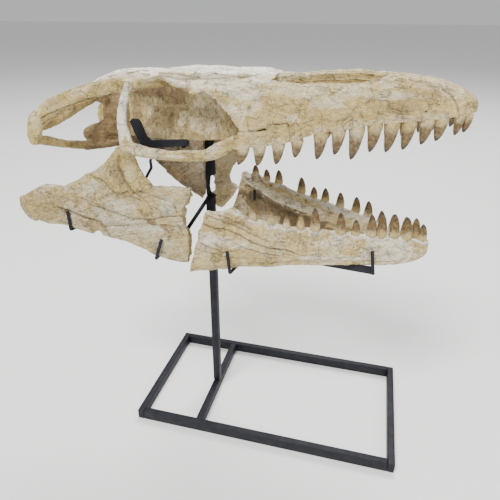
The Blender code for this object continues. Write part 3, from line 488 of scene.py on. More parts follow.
def relax(data, rounds):
    """Taubin smoothing: each point steps towards the middle of its neighbours and back out."""
    ends = np.empty(len(data.edges) * 2, np.int32)
    data.edges.foreach_get("vertices", ends)
    ends = ends.reshape(-1, 2)
    points = read_points(data)
    count = len(points)
    joined = np.bincount(ends.ravel(), minlength=count)[:, None]
    for turn in range(2 * rounds):
        total = np.zeros_like(points)
        for axis in range(3):
            total[:, axis] = np.bincount(ends[:, 0], points[ends[:, 1], axis], count)
            total[:, axis] += np.bincount(ends[:, 1], points[ends[:, 0], axis], count)
        step = STEP_IN if turn % 2 == 0 else STEP_OUT
        points += step * (total / joined - points)
    write_points(data, points)


# %% [markdown]
# ## Lips, roots and knobs
#
# Where two bones meet, the fossil has rounded lips, roots and heels that the solids leave out:
# the brow lip over the eye, the foot of the bar behind it, the ridge on the inner face of the
# far dentary, the keel of the near one, and the worn lower edges of the jaw's rear part. Each
# one is a chain of swellings. Between two neighbouring
# swellings the convex hull of two balls makes a smooth link, and the voxel remesh later melts
# all the links into the bone that they belong to. The same kind of chain, used as a cutter,
# takes out a hollow, and a plane takes off an end or a corner that has broken away.

# %% Chains of swellings
def chain(*swellings):
    """A bmesh of overlapping links. Each swelling is x, y, z in metres and a radius in millimetres."""
    whole = bmesh.new()
    for pair in zip(swellings, swellings[1:]):
        link = bmesh.new()
        for x, y, z, radius in pair:
            place = Matrix.Translation((x, y, z))
            bmesh.ops.create_icosphere(link, subdivisions=2, radius=radius * MM, matrix=place)
        hull = bmesh.ops.convex_hull(link, input=link.verts)
        inside = [item for item in hull["geom_interior"] if isinstance(item, bmesh.types.BMVert)]
        bmesh.ops.delete(link, geom=inside, context="VERTS")
        join(whole, link)
    return whole


SINKING = 0.10
SUNK_BEHIND, LEVEL_AHEAD = -0.14, -0.03
LEVEL_MIDDLE = 0.03


def to_the_left(swellings):
    """The same chain on the left side, where the rear of this skull has sunk a little."""
    moved = []
    for x, y, z, radius in swellings:
        rear = 1 - float(ease(x, SUNK_BEHIND, LEVEL_AHEAD))
        sunk = SINKING * rear * max(0.0, -y - LEVEL_MIDDLE)
        moved.append((x + sunk, -y, z - sunk, radius))
    return moved


brow_lip = [
    (-0.104, -0.124, 0.9385, 7.0), (-0.0866, -0.112, 0.9385, 7.0), (-0.0760, -0.096, 0.9410, 7.0),
    (-0.0640, -0.088, 0.9400, 7.0), (-0.0490, -0.090, 0.9360, 7.5), (-0.0300, -0.096, 0.9300, 7.5),
    (-0.0080, -0.101, 0.9260, 8.5),
]
lip_root = [(-0.0760, -0.080, 0.944, 7.0), (-0.0450, -0.076, 0.944, 9.0), (-0.0120, -0.080, 0.940, 10.0)]
bar_foot = [
    (-0.1385, -0.1500, 0.832, 6.5), (-0.1440, -0.1500, 0.812, 8.0), (-0.1470, -0.1490, 0.797, 8.0),
    (-0.1270, -0.1490, 0.795, 9.0), (-0.1050, -0.1465, 0.787, 8.0),
]
bar_web = [(-0.1330, -0.1500, 0.814, 6.0), (-0.1180, -0.1490, 0.796, 8.0)]
skull_root = [
    (-0.3060, -0.050, 0.7630, 8.0), (-0.2800, -0.037, 0.7665, 8.0), (-0.2540, -0.031, 0.7700, 8.0),
    (-0.2250, -0.029, 0.7760, 8.0),
]
inner_ridge = [
    (0.0585, 0.1270, 0.6640, 13.5), (0.0700, 0.1195, 0.6570, 11.0), (0.0900, 0.1095, 0.6470, 10.5),
    (0.1120, 0.1025, 0.6370, 10.5), (0.1420, 0.0945, 0.6250, 10.5), (0.1650, 0.0880, 0.6180, 10.0),
    (0.1940, 0.0820, 0.6130, 9.5), (0.2210, 0.0770, 0.6115, 8.5), (0.2540, 0.0700, 0.6060, 7.0),
]
gap_corner = [
    (-0.280, -0.033, 0.8830, 5.0), (-0.264, -0.031, 0.8800, 10.0), (-0.252, -0.030, 0.8880, 9.0),
    (-0.246, -0.029, 0.8760, 12.0),
]
coronoid_heel = [
    (-0.257, -0.122, 0.7160, 9.0), (-0.241, -0.122, 0.7240, 9.0), (-0.226, -0.122, 0.7340, 9.0),
    (-0.209, -0.122, 0.7440, 9.0),
]
lower_edge = [
    (-0.264, -0.128, 0.5860, 7.0), (-0.250, -0.128, 0.5800, 8.0), (-0.238, -0.128, 0.5740, 8.0),
    (-0.224, -0.128, 0.5710, 7.0),
]
jaw_heel = [
    (-0.4240, -0.127, 0.5865, 7.0), (-0.4040, -0.128, 0.5850, 8.5), (-0.3790, -0.128, 0.5865, 9.0),
    (-0.3530, -0.128, 0.5880, 9.0), (-0.3380, -0.128, 0.5855, 9.0), (-0.3240, -0.128, 0.5815, 9.0),
    (-0.3040, -0.128, 0.5765, 9.0), (-0.2770, -0.128, 0.5715, 8.0),
]
keel = [
    (0.0420, -0.1085, 0.5040, 6.0), (0.0620, -0.1045, 0.5025, 8.5), (0.1060, -0.0975, 0.5110, 9.0),
    (0.1660, -0.0855, 0.5175, 9.0), (0.2260, -0.0725, 0.5225, 9.0), (0.2850, -0.0590, 0.5235, 9.0),
    (0.3450, -0.0500, 0.5280, 9.0), (0.4030, -0.0355, 0.5285, 9.0), (0.4500, -0.0245, 0.5290, 8.5),
    (0.4940, -0.0170, 0.5345, 7.5), (0.5200, -0.0200, 0.5490, 6.0),
]
far_wing_end = [(0.0000, 0.051, 0.6070, 7.0), (0.0110, 0.051, 0.6010, 7.0)]
wall_foot = [(-0.105, -0.037, 0.8010, 5.0), (-0.060, -0.037, 0.8010, 5.0), (-0.030, -0.037, 0.8010, 5.0)]
bar_head = [(-0.1290, -0.1460, 0.904, 6.5), (-0.1270, -0.1430, 0.918, 7.5), (-0.1230, -0.1360, 0.930, 7.5)]
wall_crest = [
    (-0.152, -0.045, 0.908, 9.0), (-0.130, -0.060, 0.915, 11.0), (-0.105, -0.070, 0.920, 12.0),
    (-0.082, -0.075, 0.925, 10.0),
]
wing_point = [(-0.012, -0.0515, 0.6800, 6.5), (-0.007, -0.0515, 0.6690, 5.5),
              (-0.003, -0.0515, 0.6620, 4.5)]
wing_edge = [
    (-0.0900, -0.0515, 0.7190, 5.0), (-0.0650, -0.0515, 0.7010, 6.0), (-0.0430, -0.0515, 0.6870, 6.5),
    (-0.0225, -0.0515, 0.6750, 6.5), (-0.0060, -0.0515, 0.6660, 5.5),
]
jaw_tail = [
    (-0.4690, -0.1180, 0.6050, 7.0), (-0.4680, -0.1200, 0.5960, 8.0), (-0.4580, -0.1215, 0.5920, 8.0),
    (-0.4420, -0.1225, 0.5905, 8.0), (-0.4240, -0.1240, 0.5890, 7.5),
]
rear_corner = [(-0.0210, -0.1150, 0.6890, 7.0), (-0.0085, -0.1150, 0.6885, 6.0)]
additions = {
    "prefrontal_right": [brow_lip, lip_root], "jugal_right": [bar_foot, bar_web],
    "prefrontal_left": [to_the_left(brow_lip), to_the_left(lip_root)],
    "jugal_left": [to_the_left(bar_foot), to_the_left(bar_web)],
    "braincase": [skull_root, [(x, -y, z, radius) for x, y, z, radius in skull_root], gap_corner],
    "surangular_right": [coronoid_heel, jaw_heel, rear_corner],
    "articular_right": [jaw_tail], "angular_right": [lower_edge],
    "postorbital_bar_right": [bar_head], "orbit_wall": [wall_crest, wall_foot],
    "pterygoid_right": [wing_point, wing_edge], "pterygoid_left": [far_wing_end],
    "dentary_left": [inner_ridge], "dentary_right": [keel],
}
hollows = {
    "braincase": [[(-0.2690, -0.06, 0.8350, 14.0), (-0.2690, 0.06, 0.8350, 14.0),
                   (-0.2690, 0.06, 0.8430, 14.0), (-0.2690, -0.06, 0.8430, 14.0)]],
    "surangular_right": [[(-0.0190, -0.16, 0.6560, 7.0), (-0.0190, -0.08, 0.6560, 7.0)]],
    "pterygoid_left": [[(-0.0130, 0.030, 0.6820, 11.0), (-0.0140, 0.070, 0.6690, 12.0),
                        (-0.0150, 0.030, 0.6560, 12.0), (-0.0130, 0.070, 0.6430, 12.0)]],
}
# A point on each plane, and the way in which the piece beyond it is lost.
broken_off = {
    "pterygoid_right": [((0.0065, 0.0, 0.7), (1.0, 0.0, 0.0))],
    "angular_right": [((-0.0195, 0.0, 0.511), (1.0, 0.0, -1.0))],
}
print("chains added:", sum(map(len, additions.values())), "cut out:", sum(map(len, hollows.values())))


# %% [markdown]
# ### Cutting and adding
#
# A Boolean modifier cuts a hollow cleanly when both meshes are closed, so the links of the cutter
# are fused by a remesh first. A break needs no cutter: a plane cuts the bone, what lies beyond
# it is cleared, and the open edge is filled. The lips and knobs need no Boolean either, because
# the voxel remesh takes in whatever overlaps.

# %% Reshape a copy
CUTTER_VOXEL = 2 * MM


def carve(mesh, swellings):
    """Cuts a chain of swellings out of a bmesh."""
    cutter = new_piece("cutter", chain(*swellings))
    fused = cutter.modifiers.new("fused", "REMESH")
    fused.mode = "VOXEL"
    fused.voxel_size = CUTTER_VOXEL
    settled_mesh(cutter)
    bone = new_piece("bone being carved", mesh)
    cut = bone.modifiers.new("hollow", "BOOLEAN")
    cut.operation = "DIFFERENCE"
    cut.solver = "EXACT"
    cut.object = cutter
    settled_mesh(bone)
    carved = bmesh.new()
    carved.from_mesh(bone.data)
    for helper in (bone, cutter):
        data = helper.data
        bpy.data.objects.remove(helper)
        bpy.data.meshes.remove(data)
    return carved


def break_off(mesh, place, way):
    """Takes off what lies beyond a plane, and closes the cut."""
    everything = [*mesh.verts, *mesh.edges, *mesh.faces]
    bmesh.ops.bisect_plane(mesh, geom=everything, dist=0.001 * MM, plane_co=place, plane_no=way,
                           clear_outer=True)
    bmesh.ops.holes_fill(mesh, edges=[edge for edge in mesh.edges if edge.is_boundary], sides=0)
    bmesh.ops.recalc_face_normals(mesh, faces=mesh.faces)


def reshaped(mesh, name):
    """The bone with its hollows, breaks, lips and knobs."""
    for swellings in hollows.get(name, ()):
        mesh = carve(mesh, swellings)
    for place, way in broken_off.get(name, ()):
        break_off(mesh, place, way)
    for swellings in additions.get(name, ()):
        join(mesh, chain(*swellings))
    return mesh


# %% [markdown]
# ## The teeth
#
# A mosasaur's tooth is a bony root, which is as pale as the jaw, with a curved brown crown on
# it. In the solids each tooth is a six-sided cone that is joined to its jaw. The plan is to
# find these cones by their tips, note their place and size, take them out of the copy of the
# jaw, and set a smooth tooth in each place. Looking for the tips keeps the solids as the one
# place where the tooth row is laid out.

# %% Find and pull the cones
LOW_RING = 0.36
LOW_SIZE = 0.86
CONE_SIDES = 6
LEAST_RISE = 3 * MM
MOST_GIRTH = 14 * MM


def around(verts, apart_from):
    """The points that share an edge with these. A dict keeps their order, and a set does not."""
    found = {edge.other_vert(vert): None for vert in verts for edge in vert.link_edges}
    return [vert for vert in found if vert not in verts and vert not in apart_from]


def centre_of(verts):
    return sum((vert.co for vert in verts), Vector()) / len(verts)


def pull_teeth(mesh):
    """Takes the cones out of a jaw and returns where each one stood."""
    stood, gone = [], []
    for tip in list(mesh.verts):
        ring = around([tip], [])
        if len(ring) != CONE_SIDES:
            continue
        rises = [vert.co.z - tip.co.z for vert in ring]
        girth = max((a.co - b.co).length for a in ring for b in ring)
        blunt = min(map(abs, rises)) < LEAST_RISE or min(rises) * max(rises) < 0
        if blunt or girth > MOST_GIRTH:
            continue
        lower = around(ring, [tip])
        middle, low_middle = centre_of(ring), centre_of(lower)
        length = abs(tip.co.z - low_middle.z) / (1 - LOW_RING)
        width = (max(v.co.x for v in lower) - min(v.co.x for v in lower)) / LOW_SIZE
        curve = (tip.co.x - low_middle.x) / (1 - LOW_RING ** 2)
        way = 1.0 if tip.co.z > middle.z else -1.0
        base = Vector((tip.co.x - curve, low_middle.y, tip.co.z - way * length))
        stood.append({"base": base, "length": length, "width": width, "curve": curve, "way": way})
        gone += [tip, *ring, *lower]
    if stood:
        bmesh.ops.delete(mesh, geom=list(dict.fromkeys(gone)), context="VERTS")
        bmesh.ops.holes_fill(mesh, edges=[edge for edge in mesh.edges if edge.is_boundary], sides=0)
        bmesh.ops.triangulate(mesh, faces=[face for face in mesh.faces if len(face.verts) > 4])
        open_edges = [edge for edge in mesh.edges if edge.is_boundary]
        bmesh.ops.triangle_fill(mesh, use_beauty=True, edges=open_edges)
        bmesh.ops.recalc_face_normals(mesh, faces=mesh.faces)
    return stood


# %% [markdown]
# One smooth tooth starts as a circle in the jaw. The circle is extruded ring by ring along a
# line that curves backwards, and the last ring closes to a blunt tip. Two numbers go on each
# point: how far up the crown it is, and how far round. The enamel's colour and its fine ridges
# follow those and not the place in the room. The front of a crown bulges, and a tooth is
# narrower across the jaw than along it.

# %% Model a tooth
TOOTH_SIDES = 20
ROOT_DEPTH = 9 * MM
ROOT_SIZE = 0.50
FRONT_BULGE = 0.13
SIDE_WIDTH = 0.80
# Each station is a height and a girth, as shares of the tooth's length and width.
SHARP = (
    (0.0, 1.05), (0.12, 1.03), (0.25, 0.99), (0.38, 0.94), (0.50, 0.87), (0.61, 0.79), (0.71, 0.69),
    (0.80, 0.57), (0.875, 0.45), (0.93, 0.33), (0.97, 0.21), (0.992, 0.10), (1.0, 0.03),
)
WORN = (
    (0.0, 1.12), (0.15, 1.06), (0.35, 0.94), (0.52, 0.80), (0.67, 0.65), (0.80, 0.49),
    (0.90, 0.33), (0.96, 0.21), (0.99, 0.11), (1.0, 0.03),
)


def pull_ring_up(mesh, ring):
    """Extrudes a ring of points, given with their angles, and returns the new ring."""
    rim_edges = (edge for vert in ring for edge in vert.link_edges if edge.other_vert(vert) in ring)
    grown = bmesh.ops.extrude_edge_only(mesh, edges=list(dict.fromkeys(rim_edges)))["geom"]
    above = [item for item in grown if isinstance(item, bmesh.types.BMVert)]
    return {vert: ring[around([vert], above)[0]] for vert in above}


def grow_tooth(mesh, tooth, profile, up, turn, browning):
    """Adds one tooth to a bmesh, with its height and angle stored on its points."""
    circle = bmesh.ops.create_circle(mesh, segments=TOOTH_SIDES, radius=0.5)["verts"]
    ring = {vert: math.atan2(vert.co.y, vert.co.x) for vert in circle}
    for reach, size in [(-ROOT_DEPTH / tooth["length"], ROOT_SIZE), *profile]:
        if reach >= 0.0:
            ring = pull_ring_up(mesh, ring)
        out = max(reach, 0.0)
        bend, rise = tooth["curve"] * out ** 2, tooth["way"] * reach * tooth["length"]
        middle = tooth["base"] + Vector((bend, 0.0, rise))
        flared = 1.0 + tooth["flare"] * max(0.0, 1.0 - abs(reach)) ** 4
        girth = 0.5 * size * tooth["width"] * flared
        for vert, angle in ring.items():
            full = 1.0 + FRONT_BULGE * math.cos(angle) * out
            ahead, aside = girth * full * math.cos(angle), SIDE_WIDTH * girth * math.sin(angle)
            vert.co = middle + Vector((ahead, aside, 0.0))
            vert[up] = reach * browning
            vert[turn] = angle
    bmesh.ops.contextual_create(mesh, geom=list(ring))


# %% [markdown]
# ### From cones to a row of teeth
#
# The cones give the places. Real teeth differ from them a little: the upper ones are longer,
# those at the rear lean back and flare at the root, and a worn tooth is a blunt peg that keeps
# less of its brown. A table holds how each row differs, so a row is a loop over its cones.

# %% A row of teeth
PLAIN_FIT = {"longer": 1.0, "wider": 1.0, "lean": 0.0, "flare": 0.0}
UPPER_FIT = {"longer": 1.12, "wider": 1.0, "lean": 9 * MM, "flare": 0.24}
FAR_FIT = {"longer": 1.20, "wider": 1.10, "lean": 0.0, "flare": 0.10}
WORN_FIT = {"longer": 1.75, "wider": 1.05, "lean": 0.0, "flare": 0.0}
ROW_FIT = {
    "teeth_maxilla_right": UPPER_FIT, "teeth_maxilla_left": UPPER_FIT, "teeth_dentary_left": FAR_FIT,
}
LEANS_BEHIND, UPRIGHT_AHEAD = 0.11, 0.16
WORN_BROWNING, LEFT_BROWNING = 0.55, 0.85


def fitted(tooth, fit):
    """A cone's measures, changed to those of the finished tooth."""
    back = fit["lean"] * (1 - float(ease(tooth["base"].x, LEANS_BEHIND, UPRIGHT_AHEAD)))
    return {
        **tooth, "length": fit["longer"] * tooth["length"], "width": fit["wider"] * tooth["width"],
        "curve": tooth["curve"] - back, "flare": fit["flare"],
    }


def put_in_order(mesh):
    """Sorts edges and faces by their points, because an extrude leaves them in any order."""
    mesh.verts.index_update()
    count = len(mesh.verts)

    def rank(item):
        numbers = sorted(vert.index for vert in item.verts)
        return (numbers[0] * count + numbers[1]) * count + numbers[-1]

    mesh.edges.sort(key=rank)
    mesh.faces.sort(key=rank)


def tooth_row(name, teeth, worn_below):
    """All the teeth of one jaw as one piece."""
    mesh = bmesh.new()
    up = mesh.verts.layers.float.new("height")
    turn = mesh.verts.layers.float.new("angle")
    browning = LEFT_BROWNING if name.endswith("_left") else 1.0
    for tooth in teeth:
        if tooth["length"] < worn_below:
            grow_tooth(mesh, fitted(tooth, WORN_FIT), WORN, up, turn, WORN_BROWNING)
        else:
            grow_tooth(mesh, fitted(tooth, ROW_FIT.get(name, PLAIN_FIT)), SHARP, up, turn, browning)
    bmesh.ops.holes_fill(mesh, edges=[edge for edge in mesh.edges if edge.is_boundary], sides=0)
    put_in_order(mesh)
    bmesh.ops.recalc_face_normals(mesh, faces=mesh.faces)
    piece = new_piece(name, mesh)
    finer = piece.modifiers.new("finer", "SUBSURF")
    finer.levels = finer.render_levels = 1
    settled_mesh(piece)
    piece.data.shade_smooth()
    print(name, "teeth:", len(teeth), "faces:", len(piece.data.polygons))
    return piece


# %% [markdown]
# ### Brown enamel on a pale root
#
# The enamel is brown and glossier than bone, nearly black at the tip, and finely ridged along
# its length. The stored height decides where it begins, with noise added so that its edge is
# ragged. A sine of the stored angle draws the ridges. The root is made of the bone groups.

# %% Tooth finish
ROOT_CREAM = (0.52, 0.410, 0.190, 1)
ROOT_PALE = (0.59, 0.525, 0.360, 1)
ENAMEL_BROWN = (0.112, 0.070, 0.027, 1)
ENAMEL_PALE = (0.22, 0.150, 0.066, 1)
ENAMEL_GREY = (0.040, 0.034, 0.029, 1)
RIDGES_ROUND = 22.0
TOOTH_RELIEF = 0.7 * MM

tooth_finish, tooth_shader = new_material("tooth_enamel", 0.4)
tree = tooth_finish.node_tree
place = object_place(tree)
ragged_height = scaled_onto(tree, stored(tree, "height"), noise_node(tree, place, 120.0, 5.0), 0.45)
crown = step_node(tree, ragged_height, 0.34, 0.66)
dark_tip = step_node(tree, ragged_height, 0.84, 1.28)
cloudy = step_node(tree, noise_node(tree, place, 150.0, 6.0), 0.40, 0.68)
enamel = mix_colours(tree, cloudy, ENAMEL_BROWN, ENAMEL_PALE)
enamel = mix_colours(tree, dark_tip, enamel, ENAMEL_GREY)

root_bone = called(
    tree, tones, Vector=place, Bone=ROOT_CREAM, Bleached=ROOT_PALE, Stain=STAIN,
    Bleaching=0.46, Staining=0.46,
)
strand = called(tree, fibres, Vector=place, Turn=(0.0, math.pi / 2, 0.0))
hair = called(tree, cracks, Vector=place, Scale=60.0, Width=0.035)
root = covered(tree, root_bone.outputs["Color"], strand.outputs["Streak"], 0.5, STREAK, "MULTIPLY")
root = covered(tree, root, strand.outputs["Pore"], COVER["pore"], UMBER)
crowned = mix_colours(tree, crown, root, enamel)
cracked_tooth = covered(tree, crowned, hair.outputs["Mask"], 0.45, DEEP_BROWN)
feed(tree, tooth_shader.inputs["Base Color"], cracked_tooth)

gloss = add_node(tree, "MapRange", Value=crown, To_Min=0.70, To_Max=0.26)
feed(tree, tooth_shader.inputs["Roughness"], gloss.outputs[0])
tooth_shader.inputs["Specular IOR Level"].default_value = 0.3
ridges = math_node(tree, "SINE", scaled(tree, stored(tree, "angle"), RIDGES_ROUND))
pitted = noise_node(tree, place, 320.0, 5.0)
bumpy = scaled_onto(tree, pitted, scaled(tree, ridges, crown), 0.25)
tooth_relief = add_node(tree, "Bump", Strength=0.5, Distance=TOOTH_RELIEF, Height=bumpy)
feed(tree, tooth_shader.inputs["Normal"], tooth_relief.outputs[0])
print("tooth finish:", len(tree.nodes), "nodes")

# %% [markdown]
# ## One guide for a family of bones
#
# The guide is remeshed from copies of all the bones of a family at once. The copies are made
# fatter first and the guide thinner by as much afterwards, which closes every narrow joint
# between them. Its smoothed points and normals tell each bone where the common surface runs.

# %% Guide
GUIDE_VOXEL = 2.2 * MM
OVERLAP = 1.2 * MM
CLOSING = 2.2 * MM
GUIDE_ROUNDS = 8


def common_guide(names):
    """A search tree of the family's common skin, and its normals face by face."""
    mesh = bmesh.new()
    for name in names:
        copy = merged_copy(name)
        pull_teeth(copy)
        copy = reshaped(copy, name)
        fatten(copy, OVERLAP + CLOSING)
        join(mesh, copy)
    skin = even_skin("guide", mesh, GUIDE_VOXEL)
    relax(skin.data, GUIDE_ROUNDS)
    thinner = (OVERLAP + CLOSING) * read_points(skin.data, "normal")
    write_points(skin.data, read_points(skin.data) - thinner)
    relax(skin.data, GUIDE_ROUNDS)
    points, normals = read_points(skin.data), read_points(skin.data, "normal")
    faces = [tuple(face.vertices) for face in skin.data.polygons]
    tree = BVHTree.FromPolygons([Vector(point) for point in points], faces)
    normals = np.array([normals[list(face)].mean(axis=0) for face in faces])
    bpy.data.objects.remove(skin)
    print("guide over", len(names), "bones:", len(faces), "faces")
    return tree, normals


def lay_on(data, guide, reach=5.5 * MM):
    """Moves the points that are near the guide onto it. Returns each point's share and normal."""
    tree, guide_normals = guide
    points, normals = read_points(data), read_points(data, "normal")
    landed, facing = points.copy(), normals.copy()
    for index, point in enumerate(points):
        found, _, face, _ = tree.find_nearest(Vector(point), reach)
        if found is not None:
            landed[index], facing[index] = found, guide_normals[face]
    gap = np.linalg.norm(landed - points, axis=1)
    same_way = np.einsum("ij,ij->i", facing, normals)
    found_any = np.any(facing != normals, axis=1)
    share = found_any * ease(gap, reach, 0.6 * reach) * ease(same_way, 0.05, 0.5)
    write_points(data, points + share[:, None] * (landed - points))
    blended = share[:, None] * facing + (1 - share[:, None]) * normals
    return share, blended / np.linalg.norm(blended, axis=1)[:, None]


# %% [markdown]
# ## Sculpting the surface
#
# Marks that change the outline or catch a shadow are real shape, so that they show from every
# side and in the mesh itself. Each point is moved along its normal by the sum of a few layers:
# a slow swell, weathering, fibres along the grain, flakes that have come off, and cracks.
# Grooves, ridges and nerve openings are drawn on the side view as lines with a width and a
# rise, which is how a preparator would sketch them. All the layers depend only on the place,
# so they run on across a joint from one bone to the next. Blender's noise vectors take their
# seed from the clock unless a seed is set, so one is set first, and each run makes the same bone.

# %% Layers of noise
BUCKLE_SEED = 5
BROAD_BUCKLE, FINE_BUCKLE = 27.0, 78.0
FINE_BUCKLE_SHARE = 0.38
noise.seed_set(BUCKLE_SEED)


def noise_field(points, scale, octaves=1, shift=0.0):
    """Noise at many points. Scale is a number, or one number for each axis."""
    spots = points * scale + shift
    return np.array([noise.fractal(spot, 1.0, 2.0, octaves) for spot in spots.tolist()])


def buckle(points, amount):
    """How far each point shifts so that outlines and joints are not drawn with a ruler."""
    broad = [noise.noise_vector(spot) for spot in (points * BROAD_BUCKLE + 4.0).tolist()]
    fine = [noise.noise_vector(spot) for spot in (points * FINE_BUCKLE + 9.0).tolist()]
    return amount * (np.array(broad) + FINE_BUCKLE_SHARE * np.array(fine))


def along_grain(points, grain):
    """Points in axes where the first one follows the bone's grain."""
    first = Vector(grain).normalized()
    second = first.cross(Vector((0.0, 1.0, 0.0))).normalized()
    third = first.cross(second)
    return points @ np.array([first, second, third]).T


# %% Lines on the side view
def distance_to_line(flat, line):
    """How far each (x, z) point is from a bent line."""
    nearest = np.full(len(flat), 1.0)
    for start, end in zip(line, line[1:]):
        start, step = np.array(start), np.subtract(end, start)
        share = np.clip((flat - start) @ step / max(step @ step, 1e-12), 0.0, 1.0)
        nearest = np.minimum(nearest, np.linalg.norm(flat - start - share[:, None] * step, axis=1))
    return nearest


# The last number of a line darkens it as dirt and painted shade.
def groove(line, width=1.0, depth=1.0, dirt=0.5):
    """A drawn line, with its sizes in millimetres."""
    return line, width * MM, -depth * MM, dirt


def ridge(line, width, rise):
    return line, width * MM, rise * MM, 0.0


def pit(x, z, radius=1.7, depth=3.0, dirt=0.9):
    return groove(((x, z), (x + 0.001, z)), radius, depth, dirt)


DRAWN_DEPTH = 1.5
WANDER = 1.1 * MM
RAGGED_EDGE = 0.55


def drawn_relief(points, facing, lines):
    """The rise, and the dirt and painted shade, of all the drawn lines, on the face that looks outwards."""
    rise, dirt = np.zeros(len(points)), np.zeros(len(points))
    wander = WANDER * noise_field(points, 120.0, octaves=2, shift=3.0)
    flat = points[:, [0, 2]] + wander[:, None]
    for line, width, height, soil in lines:
        near = np.exp(-((distance_to_line(flat, line) / width) ** 2)) * facing
        rise += DRAWN_DEPTH * height * near
        dirt = np.maximum(dirt, soil * near)
    return rise, dirt


def patch(x, z, half_long, half_high, amount=1.0, tilt=0.0):
    """A soft-edged oval on the side view, with its half sizes in millimetres."""
    return x, z, half_long * MM, half_high * MM, amount, tilt


def drawn_patches(points, facing, ovals, ragged):
    """How much the ovals cover each point."""
    cover = np.zeros(len(points))
    for x, z, half_long, half_high, amount, tilt in ovals:
        run, lift = points[:, 0] - x, points[:, 2] - z
        turned_run = run * math.cos(tilt) + lift * math.sin(tilt)
        turned_lift = lift * math.cos(tilt) - run * math.sin(tilt)
        radius = np.hypot(turned_run / half_long, turned_lift / half_high) + RAGGED_EDGE * ragged
        cover = np.maximum(cover, amount * ease(radius, 1.25, 0.75) * facing)
    return cover


# %% [markdown]
# ### All the layers together
#
# Each layer has its own scale. A swell is about five centimetres wide, and roughness about one.
# The fibres, flakes and cracks are noise that is stretched along the grain, so they run
# lengthwise. Where a flake has come off, the surface is a little lower and its edge is darkened
# as dirt and painted shade. The bone round a tooth rises to meet it. The masks for the colours
# come from the same layers, so that dirt and painted shade lie in the cracks, faces that look up
# are made paler as painted light, and faces that look down are made browner as painted shade.

# %% Sculpt
FIBRE_SCALE = np.array((24.0, 170.0, 170.0))
SCAR_SCALE = np.array((26.0, 58.0, 58.0))
CRACKLE_SCALE = np.array((26.0, 44.0, 44.0))
SOCKET_HEIGHT = 0.8
SOCKET_RISE = 1.3 * MM
RELIEF_OFF_GUIDE = 0.15


def sculpt(data, share, normals, look, sockets):
    """Moves a bone's points by all the layers, and stores its colours' masks."""
    points = read_points(data)
    points += buckle(points, look["buckle"] * MM)
    straight = along_grain(points, look["grain"])
    slow = noise_field(points, 21.0, octaves=2)
    rough = noise_field(points, 80.0, octaves=3, shift=7.0)
    strands = noise_field(straight, FIBRE_SCALE, octaves=2, shift=5.0)
    scars = noise_field(straight, SCAR_SCALE, octaves=3, shift=11.0)
    lost = ease(scars, 0.20, 0.27)
    lost_edge = np.exp(-(((scars - 0.22) / 0.035) ** 2))
    crackle = noise_field(straight, CRACKLE_SCALE, octaves=2, shift=19.0)
    brittle = ease(noise_field(points, 17.0, shift=23.0), 0.02, 0.16)
    cracked = np.exp(-((crackle / 0.045) ** 2)) * brittle

    facing = ease(look["side"] * normals[:, 1], 0.10, 0.40)
    drawn, soil = drawn_relief(points, facing, look["lines"])
    rise = look["swell"] * slow + look["rough"] * rough + look["fibre"] * strands
    rise = MM * (rise - look["flake"] * lost - look["crack"] * cracked) + drawn

    filler = drawn_patches(points, facing, look["plaster"], rough)
    for socket in sockets:
        reach = socket["reach"] * np.array((1.0, 1.0, SOCKET_HEIGHT))
        gap = np.linalg.norm((points - socket["base"]) / reach, axis=1)
        filler = np.maximum(filler, look["set_in"] * ease(gap + 0.5 * rough, 1.45, 1.0))
        rise += SOCKET_RISE * ease(gap, 1.35, 0.75)
    free = RELIEF_OFF_GUIDE + (1 - RELIEF_OFF_GUIDE) * share
    write_points(data, points + normals * (rise * free)[:, None])

    # Painted light: faces that look up are made paler, on top of the pale patches.
    up, inward = normals[:, 2], normals @ np.array(look["inside"], float)
    pallor = 0.55 * ease(up, 0.25, 0.9) + drawn_patches(points, facing, look["pale"], rough)
    # Painted shade: faces that look down, and the inner faces of bones with an inside, are made browner, on
    # top of the brown patches and each bone's own amount.
    umber = 0.45 * ease(-up, 0.3, 0.95) + look["dark_inside"] * ease(inward, 0.1, 0.6)
    umber = umber + drawn_patches(points, facing, look["brown"], rough) + look["umber"]
    # Recess: dirt and painted shade in the drawn lines, cracks, flake edges and low fibres.
    recess = soil + 0.42 * look["crack"] * cracked + 0.28 * look["flake"] * lost_edge
    recess = recess + 0.22 * ease(-strands, 0.30, 0.75)
    masks = {
        "pallor": np.clip(pallor, 0, 1), "umber": np.clip(umber * (1 - 0.8 * filler), 0, 1),
        "recess": np.clip(recess, 0, 0.92), "filler": np.clip(filler, 0, 1),
    }
    for label, values in masks.items():
        layer = data.attributes.new(label, "FLOAT", "POINT")
        layer.data.foreach_set("value", values.astype(np.float32))


# %% [markdown]
# ### One recipe for every bone
#
# The steps are the same for each bone: pull its cones, reshape it, give it an even skin, lay it
# on the guide, sculpt it, and say which solid it replaces. Only its look differs, so that is a
# table of values, and each bone names just the ones that are its own. Heights are in
# millimetres. A tooth follows the buckling of the jaw at its base.

# %% Make one bone
PLAIN_LOOK = {
    "grain": (1, 0, 0), "side": -1, "swell": 1.0, "rough": 0.42, "fibre": 0.32, "flake": 0.55,
    "crack": 0.9, "buckle": 1.9, "lines": (), "plaster": (), "pale": (), "brown": (), "umber": 0.0,
    "inside": (0, 0, 0), "dark_inside": 0.0, "set_in": 0.0,
}
SOCKET_REACH = 0.62


